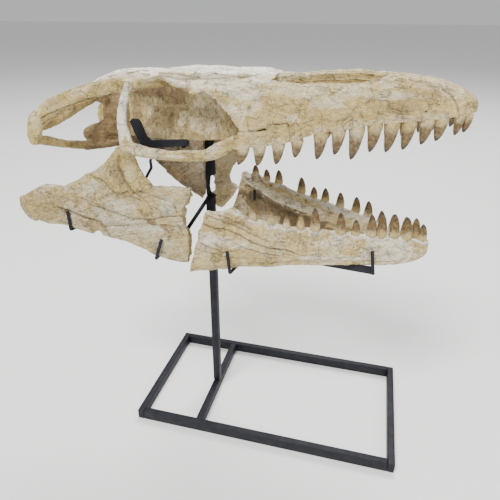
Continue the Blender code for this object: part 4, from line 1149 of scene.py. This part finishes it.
def make_bone(name, finish, guide=None, voxel=1.7, rounds=6, worn_below=0.0, **own_look):
    """Replaces a solid by its finished bone, and by its row of teeth where it has one."""
    look = {**PLAIN_LOOK, **own_look}
    if name.endswith("_left") and name != "dentary_left":
        look["side"] = 1
    mesh = merged_copy(name)
    teeth = pull_teeth(mesh)
    mesh = reshaped(mesh, name)
    if guide:
        fatten(mesh, OVERLAP)
    piece = even_skin("fossil_" + name, mesh, voxel * MM)
    data = piece.data
    relax(data, rounds)
    if guide:
        share, normals = lay_on(data, guide)
    else:
        share, normals = np.ones(len(data.vertices)), read_points(data, "normal")
    for tooth in teeth:
        tooth["base"] += Vector(buckle(np.array([tooth["base"]]), look["buckle"] * MM)[0])
    sockets = [
        {"base": np.array(tooth["base"]), "reach": SOCKET_REACH * tooth["width"]} for tooth in teeth
    ]
    sculpt(data, share, normals, look, sockets)
    data.shade_smooth()
    data.materials.append(finish)
    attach(piece, "root")
    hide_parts(name)
    if teeth:
        row = tooth_row("teeth_" + name, teeth, worn_below)
        row.data.materials.append(tooth_finish)
        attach(row, "root")
    print(name, "faces:", len(data.polygons))


# %% [markdown]
# ## The snout
#
# The maxillae carry most of the upper teeth. Above the tooth row they have a line of openings
# for the nerves of the lips, and this one has a rectangular break and a few upright cracks. The
# premaxilla forms the tip and runs back between the nostrils as a narrow bar. Each line is a row
# of (x, z) points in metres, with its width and depth in millimetres. A patch has its middle in
# metres, its half sizes in millimetres, its strength and its tilt.

# %% The skull's family
NOT_SKULL = ("stand_", "dentary", "surangular", "angular", "articular", "coronoid")
SKULL = [name for name in solids if not name.startswith(NOT_SKULL)]
skull_guide = common_guide(SKULL)

# %% Snout
SNOUT_SUTURE = ((0.500, 0.940), (0.512, 0.930), (0.527, 0.919), (0.537, 0.906), (0.543, 0.893),
                (0.545, 0.880))
BROW_LINE = ((0.033, 0.921), (0.056, 0.918), (0.084, 0.917), (0.110, 0.922), (0.140, 0.930), (0.190, 0.935),
             (0.229, 0.937))
snout_lines = (
    groove(((0.090, 0.840), (0.113, 0.842), (0.147, 0.844), (0.166, 0.847)), 1.0, 1.0, 0.5),
    groove(((0.150, 0.8445), (0.165, 0.8475)), 1.9, 6.0, 0.92),
    groove(((0.185, 0.859), (0.211, 0.862), (0.214, 0.858)), 1.6, 2.2, 0.7),
    groove(((0.214, 0.858), (0.220, 0.829)), 0.9, 1.4, 0.5),
    groove(((0.278, 0.883), (0.282, 0.877), (0.281, 0.846)), 0.9, 1.2, 0.5),
    groove(((0.244, 0.863), (0.265, 0.872)), 1.2, 1.3, 0.5),
    groove(((0.240, 0.852), (0.252, 0.858), (0.262, 0.860)), 1.2, 1.0, 0.4),
    groove(((0.355, 0.886), (0.361, 0.877)), 1.2, 1.4, 0.5),
    groove(((0.438, 0.892), (0.450, 0.892)), 1.0, 1.2, 0.6),
    groove(((0.256, 0.915), (0.268, 0.917)), 1.2, 1.2, 0.5),
    groove(((0.315, 0.924), (0.328, 0.923)), 1.0, 0.9, 0.4),
    ridge(((0.262, 0.900), (0.300, 0.903), (0.340, 0.914), (0.375, 0.913)), 5.0, 1.4),
    pit(0.480, 0.891), pit(0.497, 0.894, 1.4, 2.0), pit(0.503, 0.905, 1.3, 2.0),
    pit(0.445, 0.934, 1.2, 1.5),
    groove(SNOUT_SUTURE, 1.7, 2.0, 0.55),
    ridge(BROW_LINE, 3.2, 1.6),
)
snout_pale = (
    patch(0.235, 0.925, 60, 14), patch(0.290, 0.905, 30, 12, 0.8), patch(0.222, 0.872, 18, 9, 0.9),
    patch(0.330, 0.928, 34, 9, 0.8, 0.3), patch(0.400, 0.918, 60, 7, 0.7), patch(0.120, 0.895, 34, 20, 0.7),
    patch(0.160, 0.946, 60, 9),
)
snout_ochre = (
    patch(0.330, 0.880, 60, 14, 0.30), patch(0.470, 0.930, 50, 18, 0.42), patch(0.190, 0.842, 45, 12, 0.26),
    patch(0.480, 0.875, 30, 10, 0.40), patch(0.430, 0.905, 60, 24, 0.48),
)
SNOUT_BLEACHED = (0.60, 0.53, 0.335, 1)
maxilla_finish = fossil_finish("maxilla_bone", bleached=SNOUT_BLEACHED, bleaching=0.36, staining=0.52)
# The inner faces of the maxillae are made browner as painted shade.
for side_name in ("right", "left"):
    make_bone(
        "maxilla_" + side_name, maxilla_finish, skull_guide, lines=snout_lines, pale=snout_pale,
        brown=snout_ochre, grain=(1, 0, 0.06), inside=(0, 1 if side_name == "right" else -1, 0),
        dark_inside=0.45, set_in=0.25,
    )
premaxilla_finish = fossil_finish("premaxilla_bone", bleached=SNOUT_BLEACHED, bleaching=0.38, staining=0.52)
make_bone("premaxilla", premaxilla_finish, skull_guide, lines=(groove(SNOUT_SUTURE, 1.7, 2.0, 0.55),),
          pale=(patch(0.195, 0.955, 60, 16, 0.9),))
# The palate seen inside the nostrils has a dark brown finish as painted shade.
palate_finish = fossil_finish("palate_bone", (0.36, 0.28, 0.17, 1), bleaching=0.25, staining=0.6)
make_bone("vomer", palate_finish, skull_guide, voxel=2.0, umber=0.4)

# %% [markdown]
# ## Roof and cheeks
#
# The roof is bleached almost white, and its pale colour is raised further as painted light from
# above. The walls behind the eye are brown matrix, left in place because it holds the thin bones
# together. The bar behind the eye is mostly plaster, smoother and whiter than bone.

# %% Roof
ROOF_LINE = ((-0.070, 0.946), (-0.028, 0.939), (0.025, 0.940), (0.068, 0.942), (0.110, 0.947))
roof_lines = (
    groove(ROOF_LINE, 1.4, 2.0, 0.55), groove(((0.098, 0.944), (0.119, 0.947)), 1.6, 3.0, 0.85),
    ridge(BROW_LINE, 3.2, 1.6),
    groove(((-0.135, 0.9495), (-0.081, 0.9495), (-0.036, 0.9485), (0.013, 0.9425), (0.038, 0.947)),
           1.3, 1.8, 0.5),
    groove(((-0.186, 0.937), (-0.155, 0.946), (-0.115, 0.9485), (-0.070, 0.9515)), 1.2, 1.6, 0.55),
    groove(((-0.044, 0.9555), (-0.001, 0.9540), (0.035, 0.9520), (0.066, 0.9470), (0.105, 0.9450)),
           1.3, 1.6, 0.5),
    ridge(((-0.100, 0.9535), (-0.040, 0.9575), (0.006, 0.9575), (0.068, 0.9555), (0.117, 0.9535)),
          3.0, 1.4),
)
# The roof's pale colour is bleached bone raised further as painted light from above.
ROOF_BLEACHED = (0.94, 0.885, 0.765, 1)
roof_finish = fossil_finish(
    "frontal_bone", (0.80, 0.695, 0.48, 1), ROOF_BLEACHED, bleaching=0.66, staining=0.30
)
for name in ("frontal", "parietal"):
    make_bone(name, roof_finish, skull_guide, lines=roof_lines, swell=1.5, flake=1.0, grain=(1, 0, 0))
brow_finish = fossil_finish(
    "prefrontal_bone", bleached=(0.68, 0.62, 0.455, 1), bleaching=0.42, staining=0.46
)
brow_pale = (
    patch(0.020, 0.938, 80, 12), patch(0.150, 0.944, 60, 9), patch(0.045, 0.905, 40, 10, 0.7, -0.5),
    patch(0.100, 0.880, 26, 14, 0.6),
    patch(0.130, 0.915, 40, 12, 0.6),
)
brow_ochre = (patch(0.090, 0.902, 24, 12, 0.2), patch(0.065, 0.850, 24, 10, 0.25))
for side_name in ("right", "left"):
    make_bone("prefrontal_" + side_name, brow_finish, skull_guide, lines=roof_lines, pale=brow_pale,
              brown=brow_ochre, swell=1.3)

# %% [markdown]
# ### Bars, arches and their branches
#
# Each cheek has six bones: the two of the arch, the jugal under the eye, the bar behind it, and
# two branches inside, whose dark brown finishes are painted shade. A table lists them with their
# finish, the size of their faces and their look, and a loop makes them on both sides. Thin bones
# need smaller faces to stay crisp.

# %% Cheeks
cheek_finish = fossil_finish(
    "cheek_bone", (0.54, 0.405, 0.130, 1), bleached=(0.61, 0.515, 0.280, 1), bleaching=0.46, staining=0.50,
    grain=(0, 0.35, 0),
)
jugal_finish = fossil_finish("jugal_bone", bleaching=0.50, staining=0.50)
bar_finish = fossil_finish(
    "postorbital_plaster", (0.68, 0.63, 0.51, 1), (0.76, 0.72, 0.60, 1), bleaching=0.6, staining=0.2,
    streaks=0.1,
)
# The two inner branches have dark brown finishes as painted shade.
branch_finish = fossil_finish(
    "supratemporal_bone", (0.27, 0.205, 0.10, 1), bleached=(0.36, 0.30, 0.18, 1),
    bleaching=0.34, staining=0.56,
)
brown_finish = fossil_finish(
    "opisthotic_bone", (0.205, 0.140, 0.062, 1), bleached=(0.28, 0.215, 0.115, 1),
    bleaching=0.34, staining=0.56,
)
arch_lines = (groove(((-0.340, 0.853), (-0.323, 0.861), (-0.274, 0.879), (-0.222, 0.897), (-0.181, 0.907)),
                     1.6, 1.8, 0.6),
              groove(((-0.336, 0.8405), (-0.319, 0.8485), (-0.270, 0.8665), (-0.218, 0.8845),
                      (-0.177, 0.8945)),
                     6.5, 2.2, 0.42),
              pit(-0.318, 0.873, 1.6, 1.5, 0.7))
arch_brown = (patch(-0.288, 0.893, 36, 10, 0.42, 0.4), patch(-0.215, 0.913, 34, 9, 0.30, 0.4),
              patch(-0.168, 0.925, 20, 12, 0.28))
arch_pale = (patch(-0.090, 0.941, 34, 8, 0.9), patch(-0.355, 0.858, 16, 26, 0.9),
             patch(-0.235, 0.915, 30, 10, 0.8, 0.4))
bar_lines = (
    groove(((-0.165, 0.846), (-0.157, 0.850), (-0.148, 0.853)), 0.9, 0.9, 0.5),
    groove(((-0.158, 0.838), (-0.150, 0.834)), 0.8, 0.6, 0.4),
)
# Pale patches along the jugal's upper side are a painted highlight.
jugal_pale = (patch(-0.100, 0.790, 22, 5), patch(-0.030, 0.784, 24, 5, 0.9),
              patch(0.055, 0.803, 20, 7, 0.9, 0.6))
jugal_brown = (patch(-0.066, 0.782, 9, 8, 0.45), patch(0.012, 0.787, 10, 8, 0.40),
               patch(0.085, 0.818, 9, 8, 0.35),
               patch(-0.140, 0.800, 8, 10, 0.30))
bar_brown = (patch(-0.122, 0.926, 18, 13, 0.50),)
arch_look = {"lines": arch_lines, "brown": arch_brown, "pale": arch_pale}
smooth_look = {"grain": (0, 0, 1), "fibre": 0.1, "flake": 0.1, "crack": 0.1}
cheek_bones = (
    ("postorbitofrontal", cheek_finish, 1.5, {**arch_look, "grain": (1, 0, 0.3)}),
    ("squamosal", cheek_finish, 1.5, {**arch_look, "grain": (1, 0, 0.8)}),
    ("jugal", jugal_finish, 1.5, {"crack": 1.3, "pale": jugal_pale, "brown": jugal_brown}),
    ("postorbital_bar", bar_finish, 1.4, {**smooth_look, "lines": bar_lines, "brown": bar_brown}),
    ("supratemporal", branch_finish, 1.5, {"grain": (1, 0, -0.2), "umber": 0.25}),
    ("opisthotic", brown_finish, 1.5, {"umber": 0.3}),
)
for side_name in ("right", "left"):
    for bone, finish, voxel, look in cheek_bones:
        make_bone(f"{bone}_{side_name}", finish, skull_guide, voxel, **look)

# %% [markdown]
# ### Brown walls and wings
#
# The braincase and the wall behind the eye openings are still bedded in brown matrix, so they
# are rougher than the bones in front. The braincase's dark brown finish is painted shade. On the
# wall, a brown patch along the top is painted shade under the roof, and a large pale patch where
# it comes forward is painted light. The two pterygoids are thin wings that hang from the palate.
# The near one has a dark brown finish as painted shade, and the far one a pale finish as painted
# light.

# %% Walls behind the eye
# The braincase has a dark brown finish as painted shade.
braincase_finish = fossil_finish(
    "braincase_bone", (0.215, 0.145, 0.060, 1), bleached=(0.29, 0.215, 0.115, 1),
    stain=(0.20, 0.130, 0.052, 1), bleaching=0.3, staining=0.6,
)
make_bone("braincase", braincase_finish, skull_guide, 1.8, umber=0.2)
wall_finish = fossil_finish(
    "orbit_wall_matrix", (0.49, 0.385, 0.180, 1), bleached=(0.67, 0.565, 0.345, 1),
    stain=(0.34, 0.24, 0.10, 1), bleaching=0.34, staining=0.48, grain=(0, 1.4, 0), streaks=0.12,
)
# The first brown patch, along the top of the wall, is painted shade under the roof; the others are stains
# and streaks.
wall_brown = (
    patch(-0.110, 0.905, 40, 16, 0.75), patch(-0.057, 0.895, 20, 16, 0.6), patch(-0.074, 0.835, 7, 26, 0.5),
    patch(-0.118, 0.853, 9, 18, 0.5), patch(0.036, 0.890, 12, 40, 0.25), patch(-0.165, 0.860, 14, 60, 0.4),
)
# The last, large pale patch is painted light where the wall comes forward.
wall_pale = (
    patch(-0.047, 0.847, 9, 17), patch(-0.136, 0.811, 12, 9, 0.7), patch(0.0, 0.876, 12, 9, 0.9),
    patch(0.012, 0.856, 48, 42, 0.75),
)
make_bone("orbit_wall", wall_finish, skull_guide, 2.0, swell=2.2, grain=(0, 0, 1), brown=wall_brown,
          pale=wall_pale, umber=0.1)
# The near wing has a dark copy of the bone's colours as painted shade, and the far wing a pale copy as
# painted light.
near_wing_finish = fossil_finish(
    "near_pterygoid_bone", (0.20, 0.160, 0.105, 1), bleached=(0.30, 0.265, 0.200, 1),
    stain=(0.21, 0.145, 0.07, 1), bleaching=0.44, staining=0.46, grain=(0, 0.5, 0), streaks=0.25,
)
far_wing_finish = fossil_finish(
    "far_pterygoid_bone", (0.56, 0.45, 0.26, 1), bleached=(0.64, 0.565, 0.40, 1),
    stain=(0.50, 0.37, 0.18, 1), bleaching=0.42, staining=0.44, grain=(0, 0.5, 0), streaks=0.25,
)
wing_look = {"voxel": 1.7, "swell": 2.0, "grain": (1, 0, -0.7), "umber": 0.1}
make_bone("pterygoid_right", near_wing_finish, skull_guide, **wing_look)
make_bone("pterygoid_left", far_wing_finish, skull_guide, **wing_look)

# %% [markdown]
# ## The lower jaw
#
# The near dentary has two long grooves that sweep down from its rear edge, an inscribed block
# between two cracks, and a row of nerve openings. The preparator set many of the lower teeth in
# white plaster. On the inner face of the far dentary there is one deep hole, with a shallower
# one above it. That face is the one that is seen, so its marks are drawn on the side that looks
# to the right. The jaw bones stand apart, so each dentary is made without a guide.

# %% Dentaries
right_lines = (
    groove(((0.014, 0.633), (0.048, 0.619), (0.081, 0.613), (0.110, 0.598), (0.138, 0.580), (0.180, 0.565),
            (0.215, 0.563), (0.243, 0.552)), 2.2, 2.4, 0.6),
    groove(((0.025, 0.655), (0.055, 0.642), (0.084, 0.629), (0.110, 0.616), (0.145, 0.598), (0.180, 0.583)),
           2.0, 1.8, 0.45),
    groove(((0.004, 0.590), (0.030, 0.573), (0.059, 0.560), (0.072, 0.551)), 1.8, 2.2, 0.5),
    groove(((0.000, 0.563), (0.017, 0.557), (0.051, 0.548), (0.091, 0.537), (0.133, 0.535)),
           1.5, 1.2, 0.35),
    groove(((0.042, 0.655), (0.077, 0.646), (0.110, 0.628), (0.138, 0.611)), 1.6, 1.4, 0.4),
    groove(((0.092, 0.579), (0.133, 0.561), (0.180, 0.548), (0.227, 0.540)), 1.6, 1.3, 0.35),
    groove(((0.250, 0.547), (0.297, 0.545), (0.355, 0.543), (0.401, 0.547)), 1.5, 1.0, 0.3),
    ridge(((0.010, 0.610), (0.048, 0.603), (0.085, 0.594), (0.115, 0.577), (0.160, 0.556)), 6.0, 1.8),
    ridge(((0.018, 0.582), (0.045, 0.568), (0.062, 0.560)), 4.0, 1.6),
    groove(((0.215, 0.612), (0.218, 0.594), (0.219, 0.582), (0.205, 0.581)), 1.0, 1.3, 0.5),
    groove(((0.250, 0.612), (0.248, 0.595), (0.245, 0.572)), 1.0, 1.3, 0.5),
    groove(((0.456, 0.583), (0.451, 0.565), (0.437, 0.539)), 0.8, 0.8, 0.35),
    groove(((0.204, 0.584), (0.214, 0.582)), 1.4, 2.4, 0.8),
    groove(((0.272, 0.579), (0.281, 0.577)), 1.4, 2.2, 0.8),
    groove(((0.325, 0.577), (0.334, 0.576)), 1.2, 1.8, 0.6),
    pit(0.372, 0.572, 1.3, 1.8), pit(0.415, 0.568, 1.2, 1.6),
)
right_plaster = (
    patch(0.036, 0.577, 18, 6, 0.8, -0.4), patch(0.101, 0.656, 9, 7), patch(0.190, 0.624, 22, 7),
    patch(0.245, 0.622, 26, 6), patch(0.375, 0.613, 13, 13), patch(0.330, 0.607, 18, 7, 0.7),
)
right_brown = (patch(0.030, 0.615, 40, 24, 0.22, -0.4), patch(0.100, 0.633, 32, 14, 0.45, -0.6),
               patch(0.020, 0.545, 26, 12, 0.2))
right_pale = (patch(0.340, 0.541, 85, 7), patch(0.450, 0.560, 60, 28, 0.95),
              patch(0.070, 0.585, 60, 12, 0.6, -0.3),
              patch(0.320, 0.585, 60, 12, 0.3))
GRAIN_TURN = (0.0, 0.32, 0.0)
JAW_STREAKS = 0.42
dentary_finish = fossil_finish(
    "dentary_bone", bleached=(0.72, 0.655, 0.485, 1), bleaching=0.44, staining=0.46, grain=GRAIN_TURN,
    streaks=JAW_STREAKS,
)
dentary_look = {"grain": (1, 0, -0.3), "rounds": 12, "buckle": 2.3}
# The inner face of the near dentary is made browner as painted shade.
make_bone("dentary_right", dentary_finish, lines=right_lines, plaster=right_plaster, brown=right_brown,
          pale=right_pale, fibre=0.5, worn_below=23 * MM, set_in=0.8, inside=(0, 1, 0), dark_inside=0.8,
          **dentary_look)

left_lines = (
    pit(0.137, 0.579, 2.8, 9.0), pit(0.134, 0.651, 2.3, 4.0),
    groove(((0.300, 0.607), (0.309, 0.607)), 2.2, 2.0, 0.5),
    ridge(((0.056, 0.668), (0.090, 0.650), (0.112, 0.642), (0.165, 0.624), (0.221, 0.617), (0.276, 0.605)),
          5.0, 1.5),
    groove(((0.072, 0.640), (0.100, 0.629), (0.140, 0.612), (0.180, 0.600), (0.240, 0.592)), 2.4, 2.0, 0.6),
    groove(((0.075, 0.627), (0.100, 0.617), (0.140, 0.600), (0.180, 0.586), (0.240, 0.577)), 9.0, 2.4, 0.3),
)
# These brown patches over the hollow of the far dentary's inner face are painted shade.
left_brown = (
    patch(0.140, 0.590, 90, 22, 1.7, -0.25), patch(0.230, 0.565, 70, 20, 1.7),
    patch(0.090, 0.600, 34, 44, 0.8),
)
left_pale = (patch(0.150, 0.628, 110, 13, 0.7, -0.24), patch(0.085, 0.658, 40, 12, 1.0, -0.45))
left_plaster = (
    patch(0.120, 0.673, 34, 8, 0.9, -0.33), patch(0.185, 0.652, 44, 9, 1.1, -0.30),
    patch(0.240, 0.638, 40, 8, 1.1, -0.24),
    patch(0.310, 0.622, 50, 8, 1.1, -0.22),
)
# The far dentary's finish is a paler copy of the jaw's bone colours, as painted light on its inner face.
far_dentary_finish = fossil_finish(
    "far_dentary_bone", (0.74, 0.61, 0.34, 1), bleached=(0.82, 0.76, 0.58, 1),
    bleaching=0.44, staining=0.44,
    grain=GRAIN_TURN,
)
make_bone("dentary_left", far_dentary_finish, lines=left_lines, brown=left_brown, plaster=left_plaster,
          pale=left_pale, set_in=0.85, umber=0.05, **dentary_look)

# %% [markdown]
# ### The rear of the jaw
#
# The surangular, angular, articular and coronoid fit closely, so they share a guide of their
# own and one set of lines. A long crack runs along the joint of the surangular and the angular,
# and a curved groove leads up into the tall coronoid.

# %% Rear of the jaw
REAR = ["surangular_right", "angular_right", "articular_right", "coronoid_right"]
rear_guide = common_guide(REAR)
rear_lines = (
    groove(((-0.256, 0.720), (-0.226, 0.715), (-0.212, 0.704), (-0.206, 0.690), (-0.195, 0.680),
            (-0.176, 0.681),
            (-0.160, 0.689)), 2.0, 2.6, 0.62),
    ridge(((-0.222, 0.722), (-0.205, 0.709), (-0.198, 0.696), (-0.190, 0.689), (-0.176, 0.690)), 3.5, 2.6),
    groove(((-0.175, 0.768), (-0.175, 0.744), (-0.169, 0.726), (-0.163, 0.710), (-0.154, 0.698)),
           4.0, 3.2, 0.5),
    groove(((-0.158, 0.708), (-0.143, 0.711), (-0.132, 0.724)), 1.0, 1.0, 0.45),
    groove(((-0.154, 0.698), (-0.143, 0.686), (-0.127, 0.676), (-0.111, 0.663), (-0.100, 0.649)),
           3.0, 2.4, 0.35),
    groove(((-0.264, 0.646), (-0.245, 0.642), (-0.212, 0.633), (-0.181, 0.625), (-0.147, 0.621),
            (-0.108, 0.622),
            (-0.061, 0.635), (-0.026, 0.640)), 1.7, 1.9, 0.5),
    groove(((-0.255, 0.652), (-0.227, 0.639), (-0.191, 0.630)), 1.3, 1.2, 0.4),
    groove(((-0.358, 0.627), (-0.312, 0.616), (-0.271, 0.604), (-0.246, 0.600), (-0.238, 0.585),
            (-0.224, 0.569)),
           4.0, 3.6, 0.5),
    groove(((-0.345, 0.658), (-0.314, 0.651), (-0.282, 0.639)), 1.6, 1.2, 0.3),
    groove(((-0.156, 0.677), (-0.116, 0.665), (-0.080, 0.649)), 1.6, 1.3, 0.3),
    groove(((-0.134, 0.693), (-0.089, 0.683), (-0.048, 0.674)), 1.5, 1.1, 0.3),
    groove(((-0.445, 0.625), (-0.398, 0.623), (-0.356, 0.611)), 1.8, 1.2, 0.3),
    groove(((-0.041, 0.662), (-0.038, 0.647)), 1.6, 2.2, 0.6),
    groove(((-0.034, 0.634), (-0.026, 0.638), (-0.022, 0.618)), 1.2, 1.6, 0.6),
    pit(-0.284, 0.662, 1.5, 2.2, 0.8), pit(-0.217, 0.676, 1.3, 1.6, 0.7),
    ridge(((-0.244, 0.612), (-0.167, 0.606), (-0.086, 0.600), (-0.047, 0.596)), 9.0, 2.2),
)
rear_pale = (
    patch(-0.260, 0.690, 26, 11, 0.9, 0.5), patch(-0.247, 0.634, 22, 8, 0.9),
    patch(-0.185, 0.650, 36, 13, 0.8),
    patch(-0.148, 0.735, 11, 24, 1.0), patch(-0.059, 0.663, 20, 20, 0.6),
    patch(-0.165, 0.604, 85, 16, 1.0, -0.1),
    patch(-0.075, 0.551, 26, 26, 0.5),
)
rear_brown = (
    patch(-0.104, 0.614, 12, 5, 1.5), patch(-0.071, 0.603, 14, 6, 1.5, -0.6),
    patch(-0.180, 0.722, 17, 30, 0.62, 0.1),
    patch(-0.124, 0.642, 26, 12, 0.40), patch(-0.276, 0.592, 34, 10, 0.6),
    patch(-0.400, 0.615, 60, 26, 0.35),
    patch(-0.150, 0.685, 12, 12, 0.4),
)
# The inner faces of the rear jaw are made browner as painted shade.
rear_look = {"lines": rear_lines, "pale": rear_pale, "brown": rear_brown, "buckle": 2.6,
             "inside": (0, 1, 0),
             "dark_inside": 0.3, "fibre": 0.45}
surangular_finish = fossil_finish(
    "surangular_bone", (0.47, 0.380, 0.195, 1), bleached=(0.53, 0.475, 0.335, 1),
    bleaching=0.46, staining=0.44,
    grain=GRAIN_TURN, streaks=JAW_STREAKS,
)
articular_finish = fossil_finish(
    "articular_bone", (0.39, 0.300, 0.150, 1), bleached=(0.48, 0.415, 0.285, 1),
    bleaching=0.40, staining=0.48,
    grain=GRAIN_TURN, streaks=JAW_STREAKS,
)
coronoid_finish = fossil_finish(
    "coronoid_bone", (0.45, 0.340, 0.125, 1), bleached=(0.52, 0.430, 0.225, 1),
    bleaching=0.42, staining=0.48,
    grain=(0, 1.1, 0),
)
for name, finish in (("surangular_right", surangular_finish), ("angular_right", surangular_finish),
                     ("articular_right", articular_finish)):
    make_bone(name, finish, rear_guide, grain=(1, 0, -0.35), **rear_look)
make_bone("coronoid_right", coronoid_finish, rear_guide, 1.4, grain=(1, 0, -0.6), **rear_look)

# %% [markdown]
# ## The steel stand
#
# The frame is welded from square tube. Real tube has rounded corners that catch the light, so
# the copies of the solids get a small bevel. The clips that hold the jaw are bent from round
# rod: a curve follows each bend, and its bevel gives it thickness. The finish is matt black
# paint, worn and dusty.

# %% Steel finish
STEEL_BLACK = (0.0065, 0.0072, 0.0110, 1)
STEEL_WORN = (0.012, 0.0135, 0.020, 1)
STEEL_DUST = (0.06, 0.065, 0.075, 1)
ORANGE_PEEL = 0.3 * MM

steel, steel_shader = new_material("blackened_steel", 0.55)
tree = steel.node_tree
place = object_place(tree)
worn = step_node(tree, noise_node(tree, place, 38.0, 5.0), 0.35, 0.7)
paint = mix_colours(tree, worn, STEEL_BLACK, STEEL_WORN)
specks = step_node(tree, noise_node(tree, place, 900.0, 2.0), 0.66, 0.74)
feed(tree, steel_shader.inputs["Base Color"], covered(tree, paint, specks, 0.30, STEEL_DUST))
steel_shader.inputs["Specular IOR Level"].default_value = 0.28
cloudy = noise_node(tree, place, 60.0, 4.0)
sheen = add_node(tree, "MapRange", Value=cloudy, To_Min=0.46, To_Max=0.70)
feed(tree, steel_shader.inputs["Roughness"], sheen.outputs[0])
pebbled = noise_node(tree, place, 700.0, 2.0)
orange_peel = add_node(tree, "Bump", Strength=0.25, Distance=ORANGE_PEEL, Height=pebbled)
feed(tree, steel_shader.inputs["Normal"], orange_peel.outputs[0])
print("steel finish:", len(tree.nodes), "nodes")

# %% Tubes and plates
SHARP_EDGE = math.radians(35)
TUBE_CORNER, PLATE_CORNER = 1.5, 0.8
BITE_LOW, BITE_HIGH = 0.655, 0.683
BITE_DROP, BITE_DEEPER = 11 * MM, 2.0 * MM
NECK_FRONT, NECK_WIDER = 7 * MM, 4.6 * MM


def widen_neck(mesh):
    """The neck plate is cut by hand: its front edge stands forward, and its bite is deep."""
    for vert in mesh.verts:
        if vert.co.x > 0 and BITE_LOW < vert.co.z < BITE_HIGH:
            vert.co.z -= BITE_DROP
        if vert.co.x > NECK_FRONT:
            vert.co.x += NECK_WIDER
        elif vert.co.x > 0:
            vert.co.x -= BITE_DEEPER


def rounded_steel(name, radius):
    """A copy of a solid with its sharp edges rounded."""
    mesh = merged_copy(name)
    if name == "stand_neck":
        widen_neck(mesh)
    bmesh.ops.dissolve_limit(mesh, angle_limit=math.radians(1), verts=mesh.verts, edges=mesh.edges)
    edges = [edge for edge in mesh.edges if edge.is_manifold and edge.calc_face_angle() > SHARP_EDGE]
    bmesh.ops.bevel(mesh, geom=edges, offset=radius * MM, offset_type="OFFSET", segments=2, profile=0.5,
                    affect="EDGES", clamp_overlap=True, material=-1)
    piece = new_piece("steel_" + name, mesh)
    piece.data.shade_smooth()
    piece.data.materials.append(steel)
    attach(piece, "root")
    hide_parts(name)


rods = ("stand_clip", "stand_strut", "stand_jaw_rod")
for name in solids:
    if name.startswith("stand_") and not name.startswith(rods):
        rounded_steel(name, TUBE_CORNER if "rail" in name or "post" in name else PLATE_CORNER)

# %% [markdown]
# ### Clips and struts of bent rod
#
# A rod is bent cold, so its corners are short arcs. The points of each route are its corners,
# with a point added on either side of a bend. A quadratic NURBS curve runs straight between
# bends and turns smoothly at them. The mesh that its bevel makes has its ends merged, because
# the caps of a curve are loose. Each row has the rod's radius in millimetres and its corners.

# %% Bent rods
BEND = 7 * MM
BEND_LIMIT = 0.45
rod_paths = {
    "stand_clip_articular": (4.1, ((-0.3291, -0.1415, 0.6235), (-0.3290, -0.1415, 0.5735),
                                   (-0.3240, -0.0880, 0.5690), (-0.3220, -0.0850, 0.5762))),
    "stand_clip_angular": (4.1, ((-0.0802, -0.1415, 0.5752), (-0.0990, -0.1415, 0.5215),
                                 (-0.1010, -0.0880, 0.5200), (-0.0960, -0.0850, 0.5758))),
    "stand_clip_dentary_rear": (4.1, ((0.0808, -0.1255, 0.5567), (0.0865, -0.1245, 0.4985),
                                      (0.0930, -0.0850, 0.4985), (0.0990, -0.0165, 0.5040))),
    "stand_clip_dentary_front": (4.1, ((0.4163, -0.0520, 0.5654), (0.4250, -0.0515, 0.5050))),
    "stand_clip_dentary_left": (3.8, ((0.0900, 0.1040, 0.6330), (0.0900, 0.1040, 0.6040))),
    "stand_strut_dentary_left": (3.2, ((0.0990, -0.0045, 0.5070), (0.0950, 0.1180, 0.5005))),
    "stand_jaw_rod": (4.2, ((-0.3300, -0.0850, 0.5820), (-0.0300, -0.0850, 0.5800))),
    "stand_strut_rear": (5.0, ((-0.0040, -0.0150, 0.6420), (-0.0354, -0.0797, 0.5843))),
    "stand_clip_coronoid": (3.4, ((-0.1060, -0.0700, 0.7720), (-0.1110, -0.0980, 0.7580),
                                  (-0.1086, -0.1000, 0.7412), (-0.1280, -0.1125, 0.7055))),
}


def bent_rod(name, radius, path):
    """A round rod along straight runs that are joined by bends."""
    corners = [Vector(point) for point in path]
    route = [corners[0]]
    for before, corner, after in zip(corners, corners[1:], corners[2:]):
        for end in (before, after):
            run = end - corner
            route.append(corner + run.normalized() * min(BEND, BEND_LIMIT * run.length))
        route.insert(-1, corner)
    route.append(corners[-1])
    curve = bpy.data.curves.new(name, "CURVE")
    curve.dimensions = "3D"
    curve.bevel_depth = radius * MM
    curve.bevel_resolution = 4
    curve.use_fill_caps = True
    spline = curve.splines.new("NURBS")
    spline.points.add(len(route) - 1)
    for point, place in zip(spline.points, route):
        point.co = (*place, 1.0)
    spline.order_u = 3
    spline.use_endpoint_u = True
    spline.resolution_u = 6
    piece = bpy.data.objects.new("rod_" + name, curve)
    bpy.context.scene.collection.objects.link(piece)
    graph = bpy.context.evaluated_depsgraph_get()
    data = bpy.data.meshes.new_from_object(piece.evaluated_get(graph))
    bpy.data.objects.remove(piece)
    mesh = bmesh.new()
    mesh.from_mesh(data)
    bmesh.ops.remove_doubles(mesh, verts=mesh.verts, dist=0.001 * MM)
    bmesh.ops.recalc_face_normals(mesh, faces=mesh.faces)
    rod = new_piece("steel_" + name, mesh)
    rod.data.shade_smooth()
    rod.data.materials.append(steel)
    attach(rod, "root")
    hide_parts(name)


for name, (radius, path) in rod_paths.items():
    bent_rod(name, radius, path)
